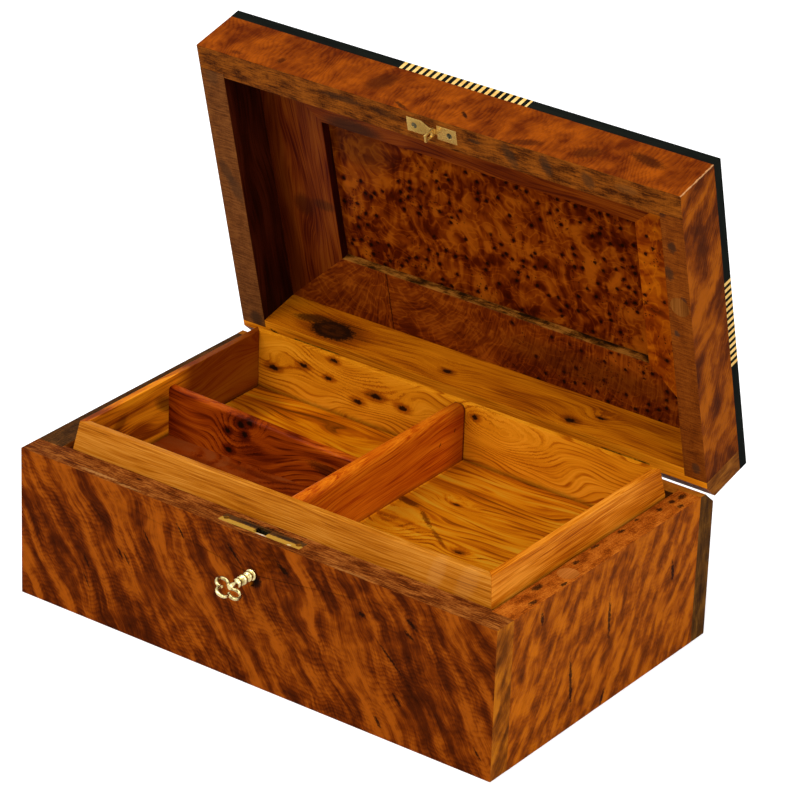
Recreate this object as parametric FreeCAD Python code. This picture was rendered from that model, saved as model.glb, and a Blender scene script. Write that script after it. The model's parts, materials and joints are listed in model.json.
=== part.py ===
import FreeCAD, Part
import math
import os

# Wooden jewelry box with a hinged lid, a loose tray, a box lock and a key.
# Millimetres; +X to the right, +Y to the back, +Z up; the origin lies on the underside, in its middle.
# The lid's pieces are made on the closed box and then turned open about the hinge pins.

V = FreeCAD.Vector
ALONG_X = V(1, 0, 0)
ALONG_Y = V(0, 1, 0)
ALONG_Z = V(0, 0, 1)

# Box
box_length = 300.0
box_width = 192.0
base_height = 84.5
lid_height = 36.0
rim_gap = 0.3
open_angle = 75.7

# Boards of the base and of the lid
front_thickness = 16.0
front_rebate = 2.0
back_thickness = 17.5
back_rebate = 5.0
left_thickness = 15.5
right_thickness = 13.5
bottom_thickness = 6.0
bottom_rebate = 5.0
base_bevel_width = 7.9
base_bevel_height = 6.9
lid_bevel_width = 8.8
lid_bevel_height = 6.0

# Lid top, frame and edging
top_thickness = 4.5
frame_thickness = 5.5
frame_front_width = 32.0
frame_back_width = 37.3
frame_left_width = 39.3
frame_right_width = 34.9
band_height = 6.0
band_depth = 5.0
stripe_depth = 2.0
front_stripe_count = 20
front_stripe_period = 4.1
front_stripe_width = 2.05
front_stripe_thin_width = 1.3
front_stripe_thin_bars = (8, 16, 20)
front_stripe_shift = -1.0
side_stripe_count = 14
side_stripe_period = 3.88
side_stripe_width = 1.94
side_stripe_shift = 3.0

# Tray
tray_front_gap = 0.4
tray_back_gap = 4.6
tray_left_gap = 5.3
tray_right_gap = 1.7
tray_rise = 15.5
tray_lean = 2.5
tray_wall = 6.2
tray_depth_below_rim = 22.5
tray_floor_thickness = 5.0
cleat_width = 10.0
cleat_height = 8.0
cross_divider_x = 9.05
cross_divider_thickness = 8.5
cross_divider_drop = 0.4
cross_divider_edge_radius = 4.0
cross_divider_end_radius = 1.2
long_divider_y = -6.0
long_divider_thickness = 6.0
long_divider_left_drop = 5.0
long_divider_right_drop = 9.0
long_divider_edge_radius = 2.0
edge_rounding_share = 0.95

# Rim plugs
plug_radius = 5.6
plug_depth = 4.0
plug_inset = 6.6
plug_y = -26.5

# Lock, key and strike
lock_x = 1.4
lock_inset = 7.8
selvedge_thickness = 1.2
selvedge_screw_gap = 2.8
selvedge_end_margin = 2.7
case_length = 40.0
case_depth = 33.0
case_wall = 0.9
mortise_clearance = 0.2
slot_clearance = 0.5
slot_length = 8.0
key_drop = 21.0
keyhole_radius = 2.5
keyhole_slot_width = 2.8
keyhole_slot_drop = 7.4
pin_radius = 0.94
pin_end_gap = 0.5
running_clearance = 0.06
bolt_side_clearance = 0.15
bolt_travel = 6.0
bolt_nose_thickness = 2.0
bolt_nose_length = 8.0
bolt_nose_gap = 0.8
bolt_neck_width = 5.0
bolt_right_end = 9.5
bolt_plate_gap = 0.8
bolt_plate_key_gap = 3.8
bolt_notch_width = 9.0
bolt_notch_clearance = 0.5
key_turn_at_rest = 27.0
key_shank_radius = 2.0
key_bit_radius = 6.6
key_bit_thickness = 2.2
key_bit_length = 3.4
key_end_gap = 0.3
key_reach = 27.0
key_collar_gap = 0.3
key_collar_length = 1.6
key_collar_radius = 3.9
key_neck_radius = 2.4
key_bead_radius = 3.4
key_bead_pitch = 4.2
key_bead_count = 2
key_bow_thickness = 2.0
key_lobe_radius = 3.5
key_eye_radius = 1.9
key_lobe_spread = 4.3
key_lobe_forward = 4.5
key_middle_eye_radius = 1.7
key_middle_eye_forward = 1.6
strike_x = 0.1
strike_length = 30.8
strike_width = 8.5
strike_thickness = 1.0
strike_screw_offset = 10.9
strike_neck_width = 3.0
strike_left_shoulder = 9.2
strike_left_tongue = 4.7
strike_right_lobe = 12.0
staple_thickness = 1.2
staple_width = 4.4
staple_reach = 7.6
staple_tip = 1.4
staple_eye_width = 2.6
staple_eye_height = 4.0
nose_eye_clearance = 0.6

# Hinges
hinge_end_distance = 50.0
hinge_length = 30.0
hinge_axis_inset = 6.3
hinge_leaf_width = 5.8
hinge_leaf_thickness = 1.0
hinge_knuckle_radius = 2.5
hinge_middle_length = 11.0
hinge_end_gap = 0.2
hinge_pin_radius = 1.0
hinge_recess_clearance = 0.3
hinge_screw_spread = 9.5
hinge_screw_head_radius = 1.25
hinge_screw_shank_radius = 0.65

# Screws: every screw has a plain shank and a countersunk head as deep as the plate that it holds,
# with a few flat sides round it, because the screws and their holes repeat so often
screw_head_radius = 1.7
screw_shank_radius = 0.85
screw_length = 8.0
screw_sides = 8

# Length by which a cutting shape runs past the face that it cuts
overrun = 2.0

# Largest difference between two lengths that count as equal
tolerance = 0.001

# Faces of the box that follow from the sizes above
left_face = -box_length / 2
right_face = box_length / 2
front_face = -box_width / 2
back_face = box_width / 2
inner_left = left_face + left_thickness
inner_right = right_face - right_thickness
inner_front = front_face + front_thickness
inner_back = back_face - back_thickness
front_joint = inner_front - front_rebate
back_joint = inner_back + back_rebate
rim = base_height
lid_bottom = rim + rim_gap
lid_top = lid_bottom + lid_height
panel_bottom = lid_top - top_thickness
band_bottom = lid_top - band_height
frame_bottom = panel_bottom - frame_thickness
hinge_places = (("left", left_face + hinge_end_distance), ("right", right_face - hinge_end_distance))
hinge_y = back_face - hinge_axis_inset
hinge_z = rim + rim_gap / 2
hinge_screw_inset = (hinge_leaf_width + hinge_knuckle_radius) / 2
tray_left = inner_left + tray_left_gap
tray_right = inner_right - tray_right_gap
tray_front = inner_front + tray_front_gap
tray_back = inner_back - tray_back_gap
tray_bottom = rim - tray_depth_below_rim
tray_top = rim + tray_rise
tray_floor_top = tray_bottom + tray_floor_thickness
lock_y = front_face + lock_inset
key_z = rim - key_drop
cavity_half = staple_width / 2 + slot_clearance
case_front = lock_y - cavity_half - case_wall
case_back = lock_y + cavity_half + case_wall
case_top = rim - selvedge_thickness
case_bottom = rim - case_depth
selvedge_screw_offset = case_length / 2 + selvedge_screw_gap
selvedge_half = selvedge_screw_offset + selvedge_end_margin
eye_bottom = lid_bottom - staple_reach + staple_tip
eye_top = eye_bottom + staple_eye_height


def block(x0, x1, y0, y1, z0, z1):
    """Box between two opposite corners."""
    return Part.makeBox(x1 - x0, y1 - y0, z1 - z0, V(x0, y0, z0))


def face(points):
    """Flat face inside a closed polygon."""
    return Part.Face(Part.makePolygon(points + points[:1]))


def prism(points, along):
    """Solid swept from a closed polygon along a vector."""
    return face(points).extrude(along)


def ring_sides(outer, inner, z0, z1):
    """Four mitred boards between an outer and an inner rectangle: front, right, back, left."""
    ox0, ox1, oy0, oy1 = outer
    ix0, ix1, iy0, iy1 = inner
    far = [V(ox0, oy0, z0), V(ox1, oy0, z0), V(ox1, oy1, z0), V(ox0, oy1, z0)]
    near = [V(ix0, iy0, z0), V(ix1, iy0, z0), V(ix1, iy1, z0), V(ix0, iy1, z0)]
    sides = []
    for i in range(4):
        j = (i + 1) % 4
        sides.append(prism([far[i], far[j], near[j], near[i]], V(0, 0, z1 - z0)))
    return sides


def stack(outlines):
    """Solid through polygons that lie one above the other, with flat faces from each to the next."""
    faces = [face(outlines[0]), face(outlines[-1])]
    for low, high in zip(outlines, outlines[1:]):
        for i in range(len(low)):
            faces.append(face([low[i - 1], low[i], high[i], high[i - 1]]))
    return Part.makeSolid(Part.makeShell(faces))


def screw_outline(centre, radius):
    """Corners of a regular polygon about an upright screw's axis."""
    corners = []
    for i in range(screw_sides):
        turn = 2 * math.pi * i / screw_sides
        corners.append(centre + V(radius * math.cos(turn), radius * math.sin(turn), 0))
    return corners


def screw(x, y, z, down, plate, head=screw_head_radius, shank=screw_shank_radius):
    """Countersunk screw through a plate, flush at z; down is -1 for a point below the head, 1 above."""
    stations = [(0, head), (plate, shank), (screw_length, shank)]
    return stack([screw_outline(V(x, y, z + down * depth), radius) for depth, radius in stations])


def opened(shape):
    """Copy of a closed-lid shape, turned open about the hinge pins."""
    turned = shape.copy()
    turned.rotate(V(0, hinge_y, hinge_z), V(-1, 0, 0), open_angle)
    return turned


def fillet_where(shape, radius, chosen):
    """Rounds the edges whose middle point passes the test."""
    edges = [edge for edge in shape.Edges if chosen(edge.CenterOfMass)]
    return shape.makeFillet(radius, edges)


def edge_rounding(radius, thickness):
    """Radius of a divider's edge, limited by half the board that carries it."""
    return min(radius, edge_rounding_share * thickness / 2)


def same(a, b):
    """Whether two lengths agree closely."""
    return abs(a - b) < tolerance


def carcase(z0, z1):
    """Front, back, left and right board of a box whose side boards sit in end rebates."""
    left = block(left_face, inner_left, front_joint, back_joint, z0, z1)
    right = block(inner_right, right_face, front_joint, back_joint, z0, z1)
    front = block(left_face, right_face, front_face, inner_front, z0, z1).cut([left, right])
    back = block(left_face, right_face, inner_back, back_face, z0, z1).cut([left, right])
    return front, back, left, right


def back_bevel(width, height, z, up):
    """Wedge cut from a back board's outer edge at the rim z; up is 1 on the lid, -1 on the base."""
    outside = back_face + overrun
    beyond = z - up * overrun
    points = [
        V(left_face - overrun, back_face - width, z),
        V(left_face - overrun, back_face, z + up * height),
        V(left_face - overrun, outside, z + up * height),
        V(left_face - overrun, outside, beyond),
        V(left_face - overrun, back_face - width, beyond),
    ]
    return prism(points, V(box_length + 2 * overrun, 0, 0))


def bottom_panel():
    """Bottom board with its edges in the walls' rebates."""
    x0 = inner_left - bottom_rebate
    x1 = inner_right + bottom_rebate
    y0 = inner_front - bottom_rebate
    y1 = inner_back + bottom_rebate
    return block(x0, x1, y0, y1, 0, bottom_thickness)


def rim_plug(z, down):
    """Round plug let into the right rim at z."""
    centre = V(right_face - plug_inset, plug_y, z)
    return Part.makeCylinder(plug_radius, plug_depth, centre, V(0, 0, down))


def keyhole(y0, y1):
    """Keyhole with a slot below its round part, from y0 to y1."""
    hole = Part.makeCylinder(keyhole_radius, y1 - y0, V(lock_x, y0, key_z), ALONG_Y)
    half = keyhole_slot_width / 2
    slot = block(lock_x - half, lock_x + half, y0, y1, key_z - keyhole_slot_drop, key_z)
    return hole.fuse(slot)


def selvedge_screws():
    """The two screws of the lock's brass strip."""
    offsets = (-selvedge_screw_offset, selvedge_screw_offset)
    return [screw(lock_x + offset, lock_y, rim, -1, selvedge_thickness) for offset in offsets]


def lock_selvedge():
    """Brass strip flush with the rim, with the slot for the staple."""
    strip = block(lock_x - selvedge_half, lock_x + selvedge_half, case_front, case_back, case_top, rim)
    reach = slot_length / 2
    y0 = lock_y - cavity_half
    y1 = lock_y + cavity_half
    slot = block(lock_x - reach, lock_x + reach, y0, y1, case_top - overrun, rim + overrun)
    return strip.cut([slot] + selvedge_screws())


def lock_case():
    """Lock box, open to the front and under the strip."""
    half = case_length / 2
    inner = half - case_wall
    shell = block(lock_x - half, lock_x + half, case_front + case_wall, case_back, case_bottom, case_top)
    y0 = case_front
    y1 = case_back - case_wall
    hollow = block(lock_x - inner, lock_x + inner, y0, y1, case_bottom + case_wall, case_top + overrun)
    return shell.cut(hollow)


def lock_cover():
    """Front plate of the lock box with its keyhole."""
    half = case_length / 2
    plate = block(lock_x - half, lock_x + half, case_front, case_front + case_wall, case_bottom, case_top)
    return plate.cut(keyhole(case_front - overrun, case_front + case_wall + overrun))


def lock_pin():
    """Drill pin on the lock box's back plate, for the pipe key."""
    start = case_back - case_wall
    end = case_front + pin_end_gap
    return Part.makeCylinder(pin_radius, start - end, V(lock_x, end, key_z), ALONG_Y)


def lock_bolt():
    """Sliding bolt at rest: a notched plate for the key's bit and a thin nose for the staple."""
    tip = lock_x - staple_thickness / 2 - bolt_nose_gap
    neck = tip - bolt_nose_length
    tail = neck - bolt_neck_width
    plate_top = lid_bottom - staple_reach - bolt_plate_gap
    plate_bottom = key_z + bolt_plate_key_gap
    nose_bottom = eye_bottom + nose_eye_clearance
    nose_top = eye_top - nose_eye_clearance
    y0 = lock_y - cavity_half + bolt_side_clearance
    y1 = lock_y + cavity_half - bolt_side_clearance
    plate = block(tail, lock_x + bolt_right_end, y0, y1, plate_bottom, plate_top)
    notch_middle = lock_x - bolt_travel / 2
    notch_half = bolt_notch_width / 2
    notch_top = key_z + key_bit_radius + bolt_notch_clearance
    notch = block(notch_middle - notch_half, notch_middle + notch_half, y0 - overrun, y1 + overrun,
                  plate_bottom - overrun, notch_top)
    nose_half = bolt_nose_thickness / 2
    neck_post = block(tail, neck, y0, y1, plate_top, nose_top)
    nose = block(neck, tip, lock_y - nose_half, lock_y + nose_half, nose_bottom, nose_top)
    return plate.cut(notch).fuse([neck_post, nose]).removeSplitter()


def key_bow(y):
    """Flat trefoil of three pierced lobes round the point y on the key's axis, open in its middle."""
    half = key_bow_thickness / 2
    centres = [
        V(-key_lobe_spread, y, -half),
        V(key_lobe_spread, y, -half),
        V(0, y - key_lobe_forward, -half),
    ]
    lobes = [Part.makeCylinder(key_lobe_radius, key_bow_thickness, centre, ALONG_Z) for centre in centres]
    eyes = [Part.makeCylinder(key_eye_radius, key_bow_thickness, centre, ALONG_Z) for centre in centres]
    middle = V(0, y - key_middle_eye_forward, -half)
    eyes.append(Part.makeCylinder(key_middle_eye_radius, key_bow_thickness, middle, ALONG_Z))
    return lobes, eyes


def key_collar(y):
    """Turned collar from the point y towards the bow: a flange and a row of beads."""
    points = [V(0, y, 0), V(key_collar_radius, y, 0)]
    y -= key_collar_length
    points += [V(key_collar_radius, y, 0), V(key_neck_radius, y, 0)]
    for _ in range(key_bead_count):
        points.append(V(key_bead_radius, y - key_bead_pitch / 2, 0))
        y -= key_bead_pitch
        points.append(V(key_neck_radius, y, 0))
    points.append(V(0, y, 0))
    return face(points).revolve(V(0, 0, 0), ALONG_Y, 360)


def key():
    """Pipe key in the lock, made flat about its axis and then turned to its place."""
    inner_end = case_back - case_wall - key_end_gap
    bow_middle = front_face - key_reach + key_lobe_radius + key_lobe_forward
    lobes, eyes = key_bow(bow_middle)
    stem_start = bow_middle - key_middle_eye_forward + key_middle_eye_radius
    stem = Part.makeCylinder(key_shank_radius, inner_end - stem_start, V(0, stem_start, 0), ALONG_Y)
    half = key_bit_thickness / 2
    bit = block(-key_bit_radius, 0, inner_end - key_bit_length, inner_end, -half, half)
    bore_radius = pin_radius + running_clearance
    bore_depth = inner_end - case_front + overrun
    bore = Part.makeCylinder(bore_radius, bore_depth, V(0, case_front, 0), ALONG_Y)
    collar = key_collar(front_face - key_collar_gap)
    whole = stem.fuse(lobes + [collar, bit]).cut(eyes + [bore]).removeSplitter()
    whole.rotate(V(0, 0, 0), ALONG_Y, key_turn_at_rest)
    whole.translate(V(lock_x, 0, key_z))
    return whole


def strike_screws():
    """The two screws of the strike plate, on the closed lid."""
    offsets = (-strike_screw_offset, strike_screw_offset)
    return [screw(strike_x + offset, lock_y, lid_bottom, 1, strike_thickness) for offset in offsets]


def strike_blank():
    """Strike plate before it is pierced: two lobes joined by a narrow neck that carries the staple."""
    left = strike_x - strike_length / 2
    right = strike_x + strike_length / 2
    shoulder = left + strike_left_shoulder
    tongue = shoulder + strike_left_tongue
    lobe = right - strike_right_lobe
    wide = strike_width / 2
    narrow = strike_neck_width / 2
    front = [(left, wide), (shoulder, wide), (tongue, narrow), (lobe, narrow), (lobe, wide), (right, wide)]
    points = [V(x, lock_y - y, lid_bottom) for x, y in front]
    points += [V(x, lock_y + y, lid_bottom) for x, y in reversed(front)]
    plate = prism(points, V(0, 0, strike_thickness))
    x_half = staple_thickness / 2
    y_half = staple_width / 2
    staple = block(lock_x - x_half, lock_x + x_half, lock_y - y_half, lock_y + y_half,
                   lid_bottom - staple_reach, lid_bottom + strike_thickness)
    return plate.fuse(staple).removeSplitter()


def strike_plate():
    """Strike plate with its staple and its screw holes, on the closed lid."""
    x0 = lock_x - staple_thickness / 2 - overrun
    x1 = lock_x + staple_thickness / 2 + overrun
    half = staple_eye_width / 2
    eye = block(x0, x1, lock_y - half, lock_y + half, eye_bottom, eye_top)
    return strike_blank().cut([eye] + strike_screws())


def hinge_screws(x, z, down):
    """The two screws of one hinge leaf."""
    y = hinge_y - hinge_screw_inset
    offsets = (-hinge_screw_spread, hinge_screw_spread)
    head = hinge_screw_head_radius
    shank = hinge_screw_shank_radius
    return [screw(x + offset, y, z, down, hinge_leaf_thickness, head, shank) for offset in offsets]


def hinge_knuckle(x, z0, z1, radius):
    """Round bar on the hinge axis, from z0 to z1 along X counted from the hinge's middle."""
    return Part.makeCylinder(radius, z1 - z0, V(x + z0, hinge_y, hinge_z), ALONG_X)


def knuckle_spans(lid):
    """Start and end of a leaf's own knuckles along the hinge, and of the ones it makes room for."""
    middle = hinge_middle_length / 2
    end = hinge_length / 2
    inner = [(-middle, middle)]
    outer = [(-end, -middle - hinge_end_gap), (middle + hinge_end_gap, end)]
    return (inner, outer) if lid else (outer, inner)


def hinge_leaf(x, lid):
    """Leaf of one hinge with its knuckles, flush in the rim of the base or of the closed lid."""
    half = hinge_length / 2
    z0 = lid_bottom if lid else rim - hinge_leaf_thickness
    z1 = z0 + hinge_leaf_thickness
    plate = block(x - half, x + half, hinge_y - hinge_leaf_width, hinge_y, z0, z1)
    own, others = knuckle_spans(lid)
    pin_hole = hinge_knuckle(x, -half - overrun, half + overrun, hinge_pin_radius + running_clearance)
    knuckles = [hinge_knuckle(x, start, end, hinge_knuckle_radius) for start, end in own]
    room_radius = hinge_knuckle_radius + hinge_end_gap
    gap = hinge_end_gap
    rooms = [hinge_knuckle(x, start - gap, end + gap, room_radius) for start, end in others]
    screws = hinge_screws(x, lid_bottom, 1) if lid else hinge_screws(x, rim, -1)
    return plate.cut(rooms + screws).fuse(knuckles).cut(pin_hole).removeSplitter()


def hinge_recess(x, lid):
    """Room for one hinge in the back board of the base or of the closed lid."""
    x0 = x - hinge_length / 2
    x1 = x + hinge_length / 2
    leaf_front = hinge_y - hinge_leaf_width
    room = hinge_knuckle_radius + hinge_recess_clearance
    barrel_front = hinge_y - room
    outside = back_face + overrun
    if lid:
        below = lid_bottom - overrun
        leaf = block(x0, x1, leaf_front, hinge_y, below, lid_bottom + hinge_leaf_thickness)
        barrel = block(x0, x1, barrel_front, outside, below, hinge_z + room)
    else:
        above = rim + overrun
        leaf = block(x0, x1, leaf_front, hinge_y, rim - hinge_leaf_thickness, above)
        barrel = block(x0, x1, barrel_front, outside, hinge_z - room, above)
    return [leaf, barrel]


def stripe_bars(middle, count, period, width, thin_width, thin_bars):
    """Start and end of each bar of a striped run."""
    spans = []
    for i in range(count):
        half = (thin_width if i + 1 in thin_bars else width) / 2
        centre = middle + (i - (count - 1) / 2) * period
        spans.append((centre - half, centre + half))
    return spans


def front_stripes(y0, y1):
    """Bars of the long edges between two depths."""
    spans = stripe_bars(front_stripe_shift, front_stripe_count, front_stripe_period, front_stripe_width,
                        front_stripe_thin_width, front_stripe_thin_bars)
    return [block(start, end, y0, y1, band_bottom, lid_top) for start, end in spans]


def side_stripes(x0, x1):
    """Bars of the short edges between two depths."""
    spans = stripe_bars(side_stripe_shift, side_stripe_count, side_stripe_period, side_stripe_width,
                        side_stripe_width, ())
    return [block(x0, x1, start, end, band_bottom, lid_top) for start, end in spans]


def make_base():
    """All pieces of the base."""
    front, back, left, right = carcase(0, base_height)
    bottom = bottom_panel()
    gap = mortise_clearance
    half = case_length / 2 + gap
    above = rim + overrun
    mortise = block(lock_x - half, lock_x + half, case_front - gap, case_back + gap,
                    case_bottom - gap, above)
    strip_room = block(lock_x - selvedge_half, lock_x + selvedge_half, case_front, case_back,
                       case_top, above)
    front_hole = keyhole(front_face - overrun, case_front)
    front = front.cut([bottom, mortise, strip_room, front_hole] + selvedge_screws())
    back = back.cut([bottom, back_bevel(base_bevel_width, base_bevel_height, rim, -1)])
    plug = rim_plug(rim, -1)
    pieces = {}
    screws = []
    for name, x in hinge_places:
        back = back.cut(hinge_recess(x, False) + hinge_screws(x, rim, -1))
        screws += hinge_screws(x, rim, -1)
        pieces["hinge_leaf_base_" + name] = hinge_leaf(x, False)
        end = hinge_length / 2
        pieces["hinge_pin_" + name] = hinge_knuckle(x, -end, end, hinge_pin_radius)
    pieces["front_board"] = front
    pieces["back_board"] = back
    pieces["left_side"] = left.cut(bottom)
    pieces["right_side"] = right.cut([bottom, plug])
    pieces["bottom_panel"] = bottom
    cleat_places = (("left", inner_left), ("right", inner_right - cleat_width))
    for name, x in cleat_places:
        cleat = block(x, x + cleat_width, inner_front, inner_back, tray_bottom - cleat_height, tray_bottom)
        pieces["tray_cleat_" + name] = cleat
    pieces["rim_plug_base"] = plug
    pieces["lock_selvedge"] = lock_selvedge()
    pieces["lock_case"] = lock_case()
    pieces["lock_cover"] = lock_cover()
    pieces["lock_pin"] = lock_pin()
    pieces["lock_screws"] = Part.makeCompound(selvedge_screws())
    pieces["hinge_screws_base"] = Part.makeCompound(screws)
    return pieces


def tray_envelope():
    """Outside of the tray: upright below the rim, leaning in above it."""
    body = block(tray_left, tray_right, tray_front, tray_back, tray_bottom, rim)
    low = [V(tray_left, tray_front, rim), V(tray_right, tray_front, rim),
           V(tray_right, tray_back, rim), V(tray_left, tray_back, rim)]
    x0 = tray_left + tray_lean
    x1 = tray_right - tray_lean
    y0 = tray_front + tray_lean
    y1 = tray_back - tray_lean
    high = [V(x0, y0, tray_top), V(x1, y0, tray_top), V(x1, y1, tray_top), V(x0, y1, tray_top)]
    return body.fuse(stack([low, high])).removeSplitter()


def make_tray():
    """All pieces of the tray."""
    outer = (tray_left, tray_right, tray_front, tray_back)
    x0 = tray_left + tray_wall
    x1 = tray_right - tray_wall
    y0 = tray_front + tray_wall
    y1 = tray_back - tray_wall
    envelope = tray_envelope()
    walls = [side.common(envelope) for side in ring_sides(outer, (x0, x1, y0, y1), tray_bottom, tray_top)]
    front, right, back, left = walls
    half = cross_divider_thickness / 2
    cross_left = cross_divider_x - half
    cross_top = tray_top - cross_divider_drop
    blank = block(cross_left, cross_divider_x + half, y0, y1, tray_floor_top, cross_top)
    ended = fillet_where(blank, cross_divider_end_radius, lambda c: same(c.z, cross_top) and same(c.y, y1))
    cross_radius = edge_rounding(cross_divider_edge_radius, cross_divider_thickness)
    edged = fillet_where(blank, cross_radius,
                         lambda c: same(c.z, cross_top) and not same(c.x, cross_divider_x))
    cross = ended.common(edged)
    profile = [
        V(x0, long_divider_y - long_divider_thickness / 2, tray_floor_top),
        V(cross_left, long_divider_y - long_divider_thickness / 2, tray_floor_top),
        V(cross_left, long_divider_y - long_divider_thickness / 2, tray_top - long_divider_right_drop),
        V(x0, long_divider_y - long_divider_thickness / 2, tray_top - long_divider_left_drop),
    ]
    long = prism(profile, V(0, long_divider_thickness, 0))
    middle_z = tray_top - (long_divider_left_drop + long_divider_right_drop) / 2
    long_radius = edge_rounding(long_divider_edge_radius, long_divider_thickness)
    long = fillet_where(long, long_radius, lambda c: same(c.z, middle_z))
    return {
        "tray_front": front,
        "tray_right": right,
        "tray_back": back,
        "tray_left": left,
        "tray_floor": block(x0, x1, y0, y1, tray_bottom, tray_floor_top),
        "cross_divider": cross,
        "long_divider": long,
    }


def make_lid():
    """All pieces of the lid, on the closed box."""
    box = (left_face, right_face, front_face, back_face)
    inside = (left_face + band_depth, right_face - band_depth,
              front_face + band_depth, back_face - band_depth)
    bands = ring_sides(box, inside, band_bottom, lid_top)
    boards = [board.cut(bands) for board in carcase(lid_bottom, panel_bottom)]
    front, back, left, right = boards
    plug = rim_plug(lid_bottom, 1)
    front = front.cut([strike_blank()] + strike_screws())
    back = back.cut(back_bevel(lid_bevel_width, lid_bevel_height, lid_bottom, 1))
    pieces = {}
    screws = []
    for name, x in hinge_places:
        back = back.cut(hinge_recess(x, True) + hinge_screws(x, lid_bottom, 1))
        screws += hinge_screws(x, lid_bottom, 1)
        pieces["hinge_leaf_lid_" + name] = hinge_leaf(x, True)
    pieces["lid_front_board"] = front
    pieces["lid_back_board"] = back
    pieces["lid_left_side"] = left
    pieces["lid_right_side"] = right.cut(plug)
    x0, x1, y0, y1 = inside
    pieces["lid_top_panel"] = block(x0, x1, y0, y1, panel_bottom, lid_top)
    room = (inner_left, inner_right, inner_front, inner_back)
    window = (inner_left + frame_left_width, inner_right - frame_right_width,
              inner_front + frame_front_width, inner_back - frame_back_width)
    frame = ring_sides(room, window, frame_bottom, panel_bottom)
    stripes = [
        front_stripes(front_face, front_face + stripe_depth),
        side_stripes(right_face - stripe_depth, right_face),
        front_stripes(back_face - stripe_depth, back_face),
        side_stripes(left_face, left_face + stripe_depth),
    ]
    for i, name in enumerate(("front", "right", "back", "left")):
        pieces["lid_frame_" + name] = frame[i]
        pieces["edge_band_" + name] = bands[i].cut(stripes[i])
        pieces["stripes_" + name] = Part.makeCompound(stripes[i])
    pieces["strike_plate"] = strike_plate()
    pieces["strike_screws"] = Part.makeCompound(strike_screws())
    pieces["rim_plug_lid"] = plug
    pieces["hinge_screws_lid"] = Part.makeCompound(screws)
    return {name: opened(shape) for name, shape in pieces.items()}


os.makedirs("parts", exist_ok=True)
pieces = make_base()
pieces.update(make_tray())
pieces.update(make_lid())
pieces["key"] = key()
pieces["lock_bolt"] = lock_bolt()
for name, shape in pieces.items():
    shape.exportStep("parts/" + name + ".step")
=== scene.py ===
import json
import logging
import math
from dataclasses import dataclass, field, replace
from enum import Enum
from typing import Any, ClassVar, Mapping, NamedTuple, Optional, Sequence, Union

import bmesh
import bpy
from mathutils import Matrix, Vector


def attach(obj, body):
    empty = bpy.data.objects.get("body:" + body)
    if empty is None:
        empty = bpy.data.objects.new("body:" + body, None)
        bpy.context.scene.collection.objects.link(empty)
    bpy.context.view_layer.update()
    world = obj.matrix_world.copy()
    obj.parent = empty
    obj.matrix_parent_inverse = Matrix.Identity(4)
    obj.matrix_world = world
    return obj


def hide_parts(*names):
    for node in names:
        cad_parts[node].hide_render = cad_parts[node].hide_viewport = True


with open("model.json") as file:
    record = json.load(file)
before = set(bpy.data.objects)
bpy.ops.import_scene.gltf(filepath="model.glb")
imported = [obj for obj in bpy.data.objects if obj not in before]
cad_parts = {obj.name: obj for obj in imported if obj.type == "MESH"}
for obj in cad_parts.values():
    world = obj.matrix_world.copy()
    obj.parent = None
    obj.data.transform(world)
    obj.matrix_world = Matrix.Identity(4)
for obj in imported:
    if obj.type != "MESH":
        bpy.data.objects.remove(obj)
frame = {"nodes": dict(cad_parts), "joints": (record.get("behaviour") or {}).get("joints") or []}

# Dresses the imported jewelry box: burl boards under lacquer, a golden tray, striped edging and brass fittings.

LOG = logging.getLogger("jewelry_box")
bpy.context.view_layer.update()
MM = 0.001
PER_METRE = 1000.0
WELD_DISTANCE = 0.00001
X, Y, Z = (1, 0, 0), (0, 1, 0), (0, 0, 1)
ORIGIN = (0, 0, 0)
MEAN = 0.5

Colour = tuple[float, float, float, float]
Triple = tuple[float, float, float]
Term = Union["Field", float]


def srgb(red: float, green: float, blue: float) -> Colour:
    """Linear colour from display values.

    Args:
        red: Red from 0 to 255.
        green: Green from 0 to 255.
        blue: Blue from 0 to 255.

    Returns:
        The linear colour with full alpha.
    """
    def linear(value: float) -> float:
        """Linear light of one display channel."""
        share = value / 255
        return share / 12.92 if share <= 0.04045 else ((share + 0.055) / 1.055) ** 2.4

    return (linear(red), linear(green), linear(blue), 1.0)


def shade(colour: Colour, share: float) -> Colour:
    """A colour made darker or lighter."""
    red, green, blue, alpha = colour
    return (min(red * share, 1.0), min(green * share, 1.0), min(blue * share, 1.0), alpha)


class Blend(Enum):
    """How a colour lies over another."""

    COVER = "MIX"
    STAIN = "MULTIPLY"


class Noise(NamedTuple):
    """A noise: the lengths of its blotches in millimetres, its octaves and their roughness."""

    steps: Triple
    detail: float = 2.0
    roughness: float = 0.5


class Warp(NamedTuple):
    """A shift by noise: the size of its blotches and its reach in millimetres, and its octaves."""

    size: float
    reach: float
    detail: float = 1.0


class Field:
    """One shader output that takes part in Python expressions."""

    def __init__(self, graph: "Graph", socket: bpy.types.NodeSocket) -> None:
        """Wraps an output socket of a graph."""
        self.graph = graph
        self.socket = socket

    def output(self, name: str) -> "Field":
        """Another output of the same node."""
        return Field(self.graph, self.socket.node.outputs[name])

    def __add__(self, other: Term) -> "Field":
        """Sum of two values."""
        return self.graph.math("ADD", self, other)

    __radd__ = __add__

    def __sub__(self, other: Term) -> "Field":
        """Difference of two values."""
        return self.graph.math("SUBTRACT", self, other)

    def __rsub__(self, other: Term) -> "Field":
        """Difference from a plain number."""
        return self.graph.math("SUBTRACT", other, self)

    def __mul__(self, other: Term) -> "Field":
        """Product of two values."""
        return self.graph.math("MULTIPLY", self, other)

    __rmul__ = __mul__

    def __truediv__(self, other: Term) -> "Field":
        """Quotient of two values."""
        return self.graph.math("DIVIDE", self, other)


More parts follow.
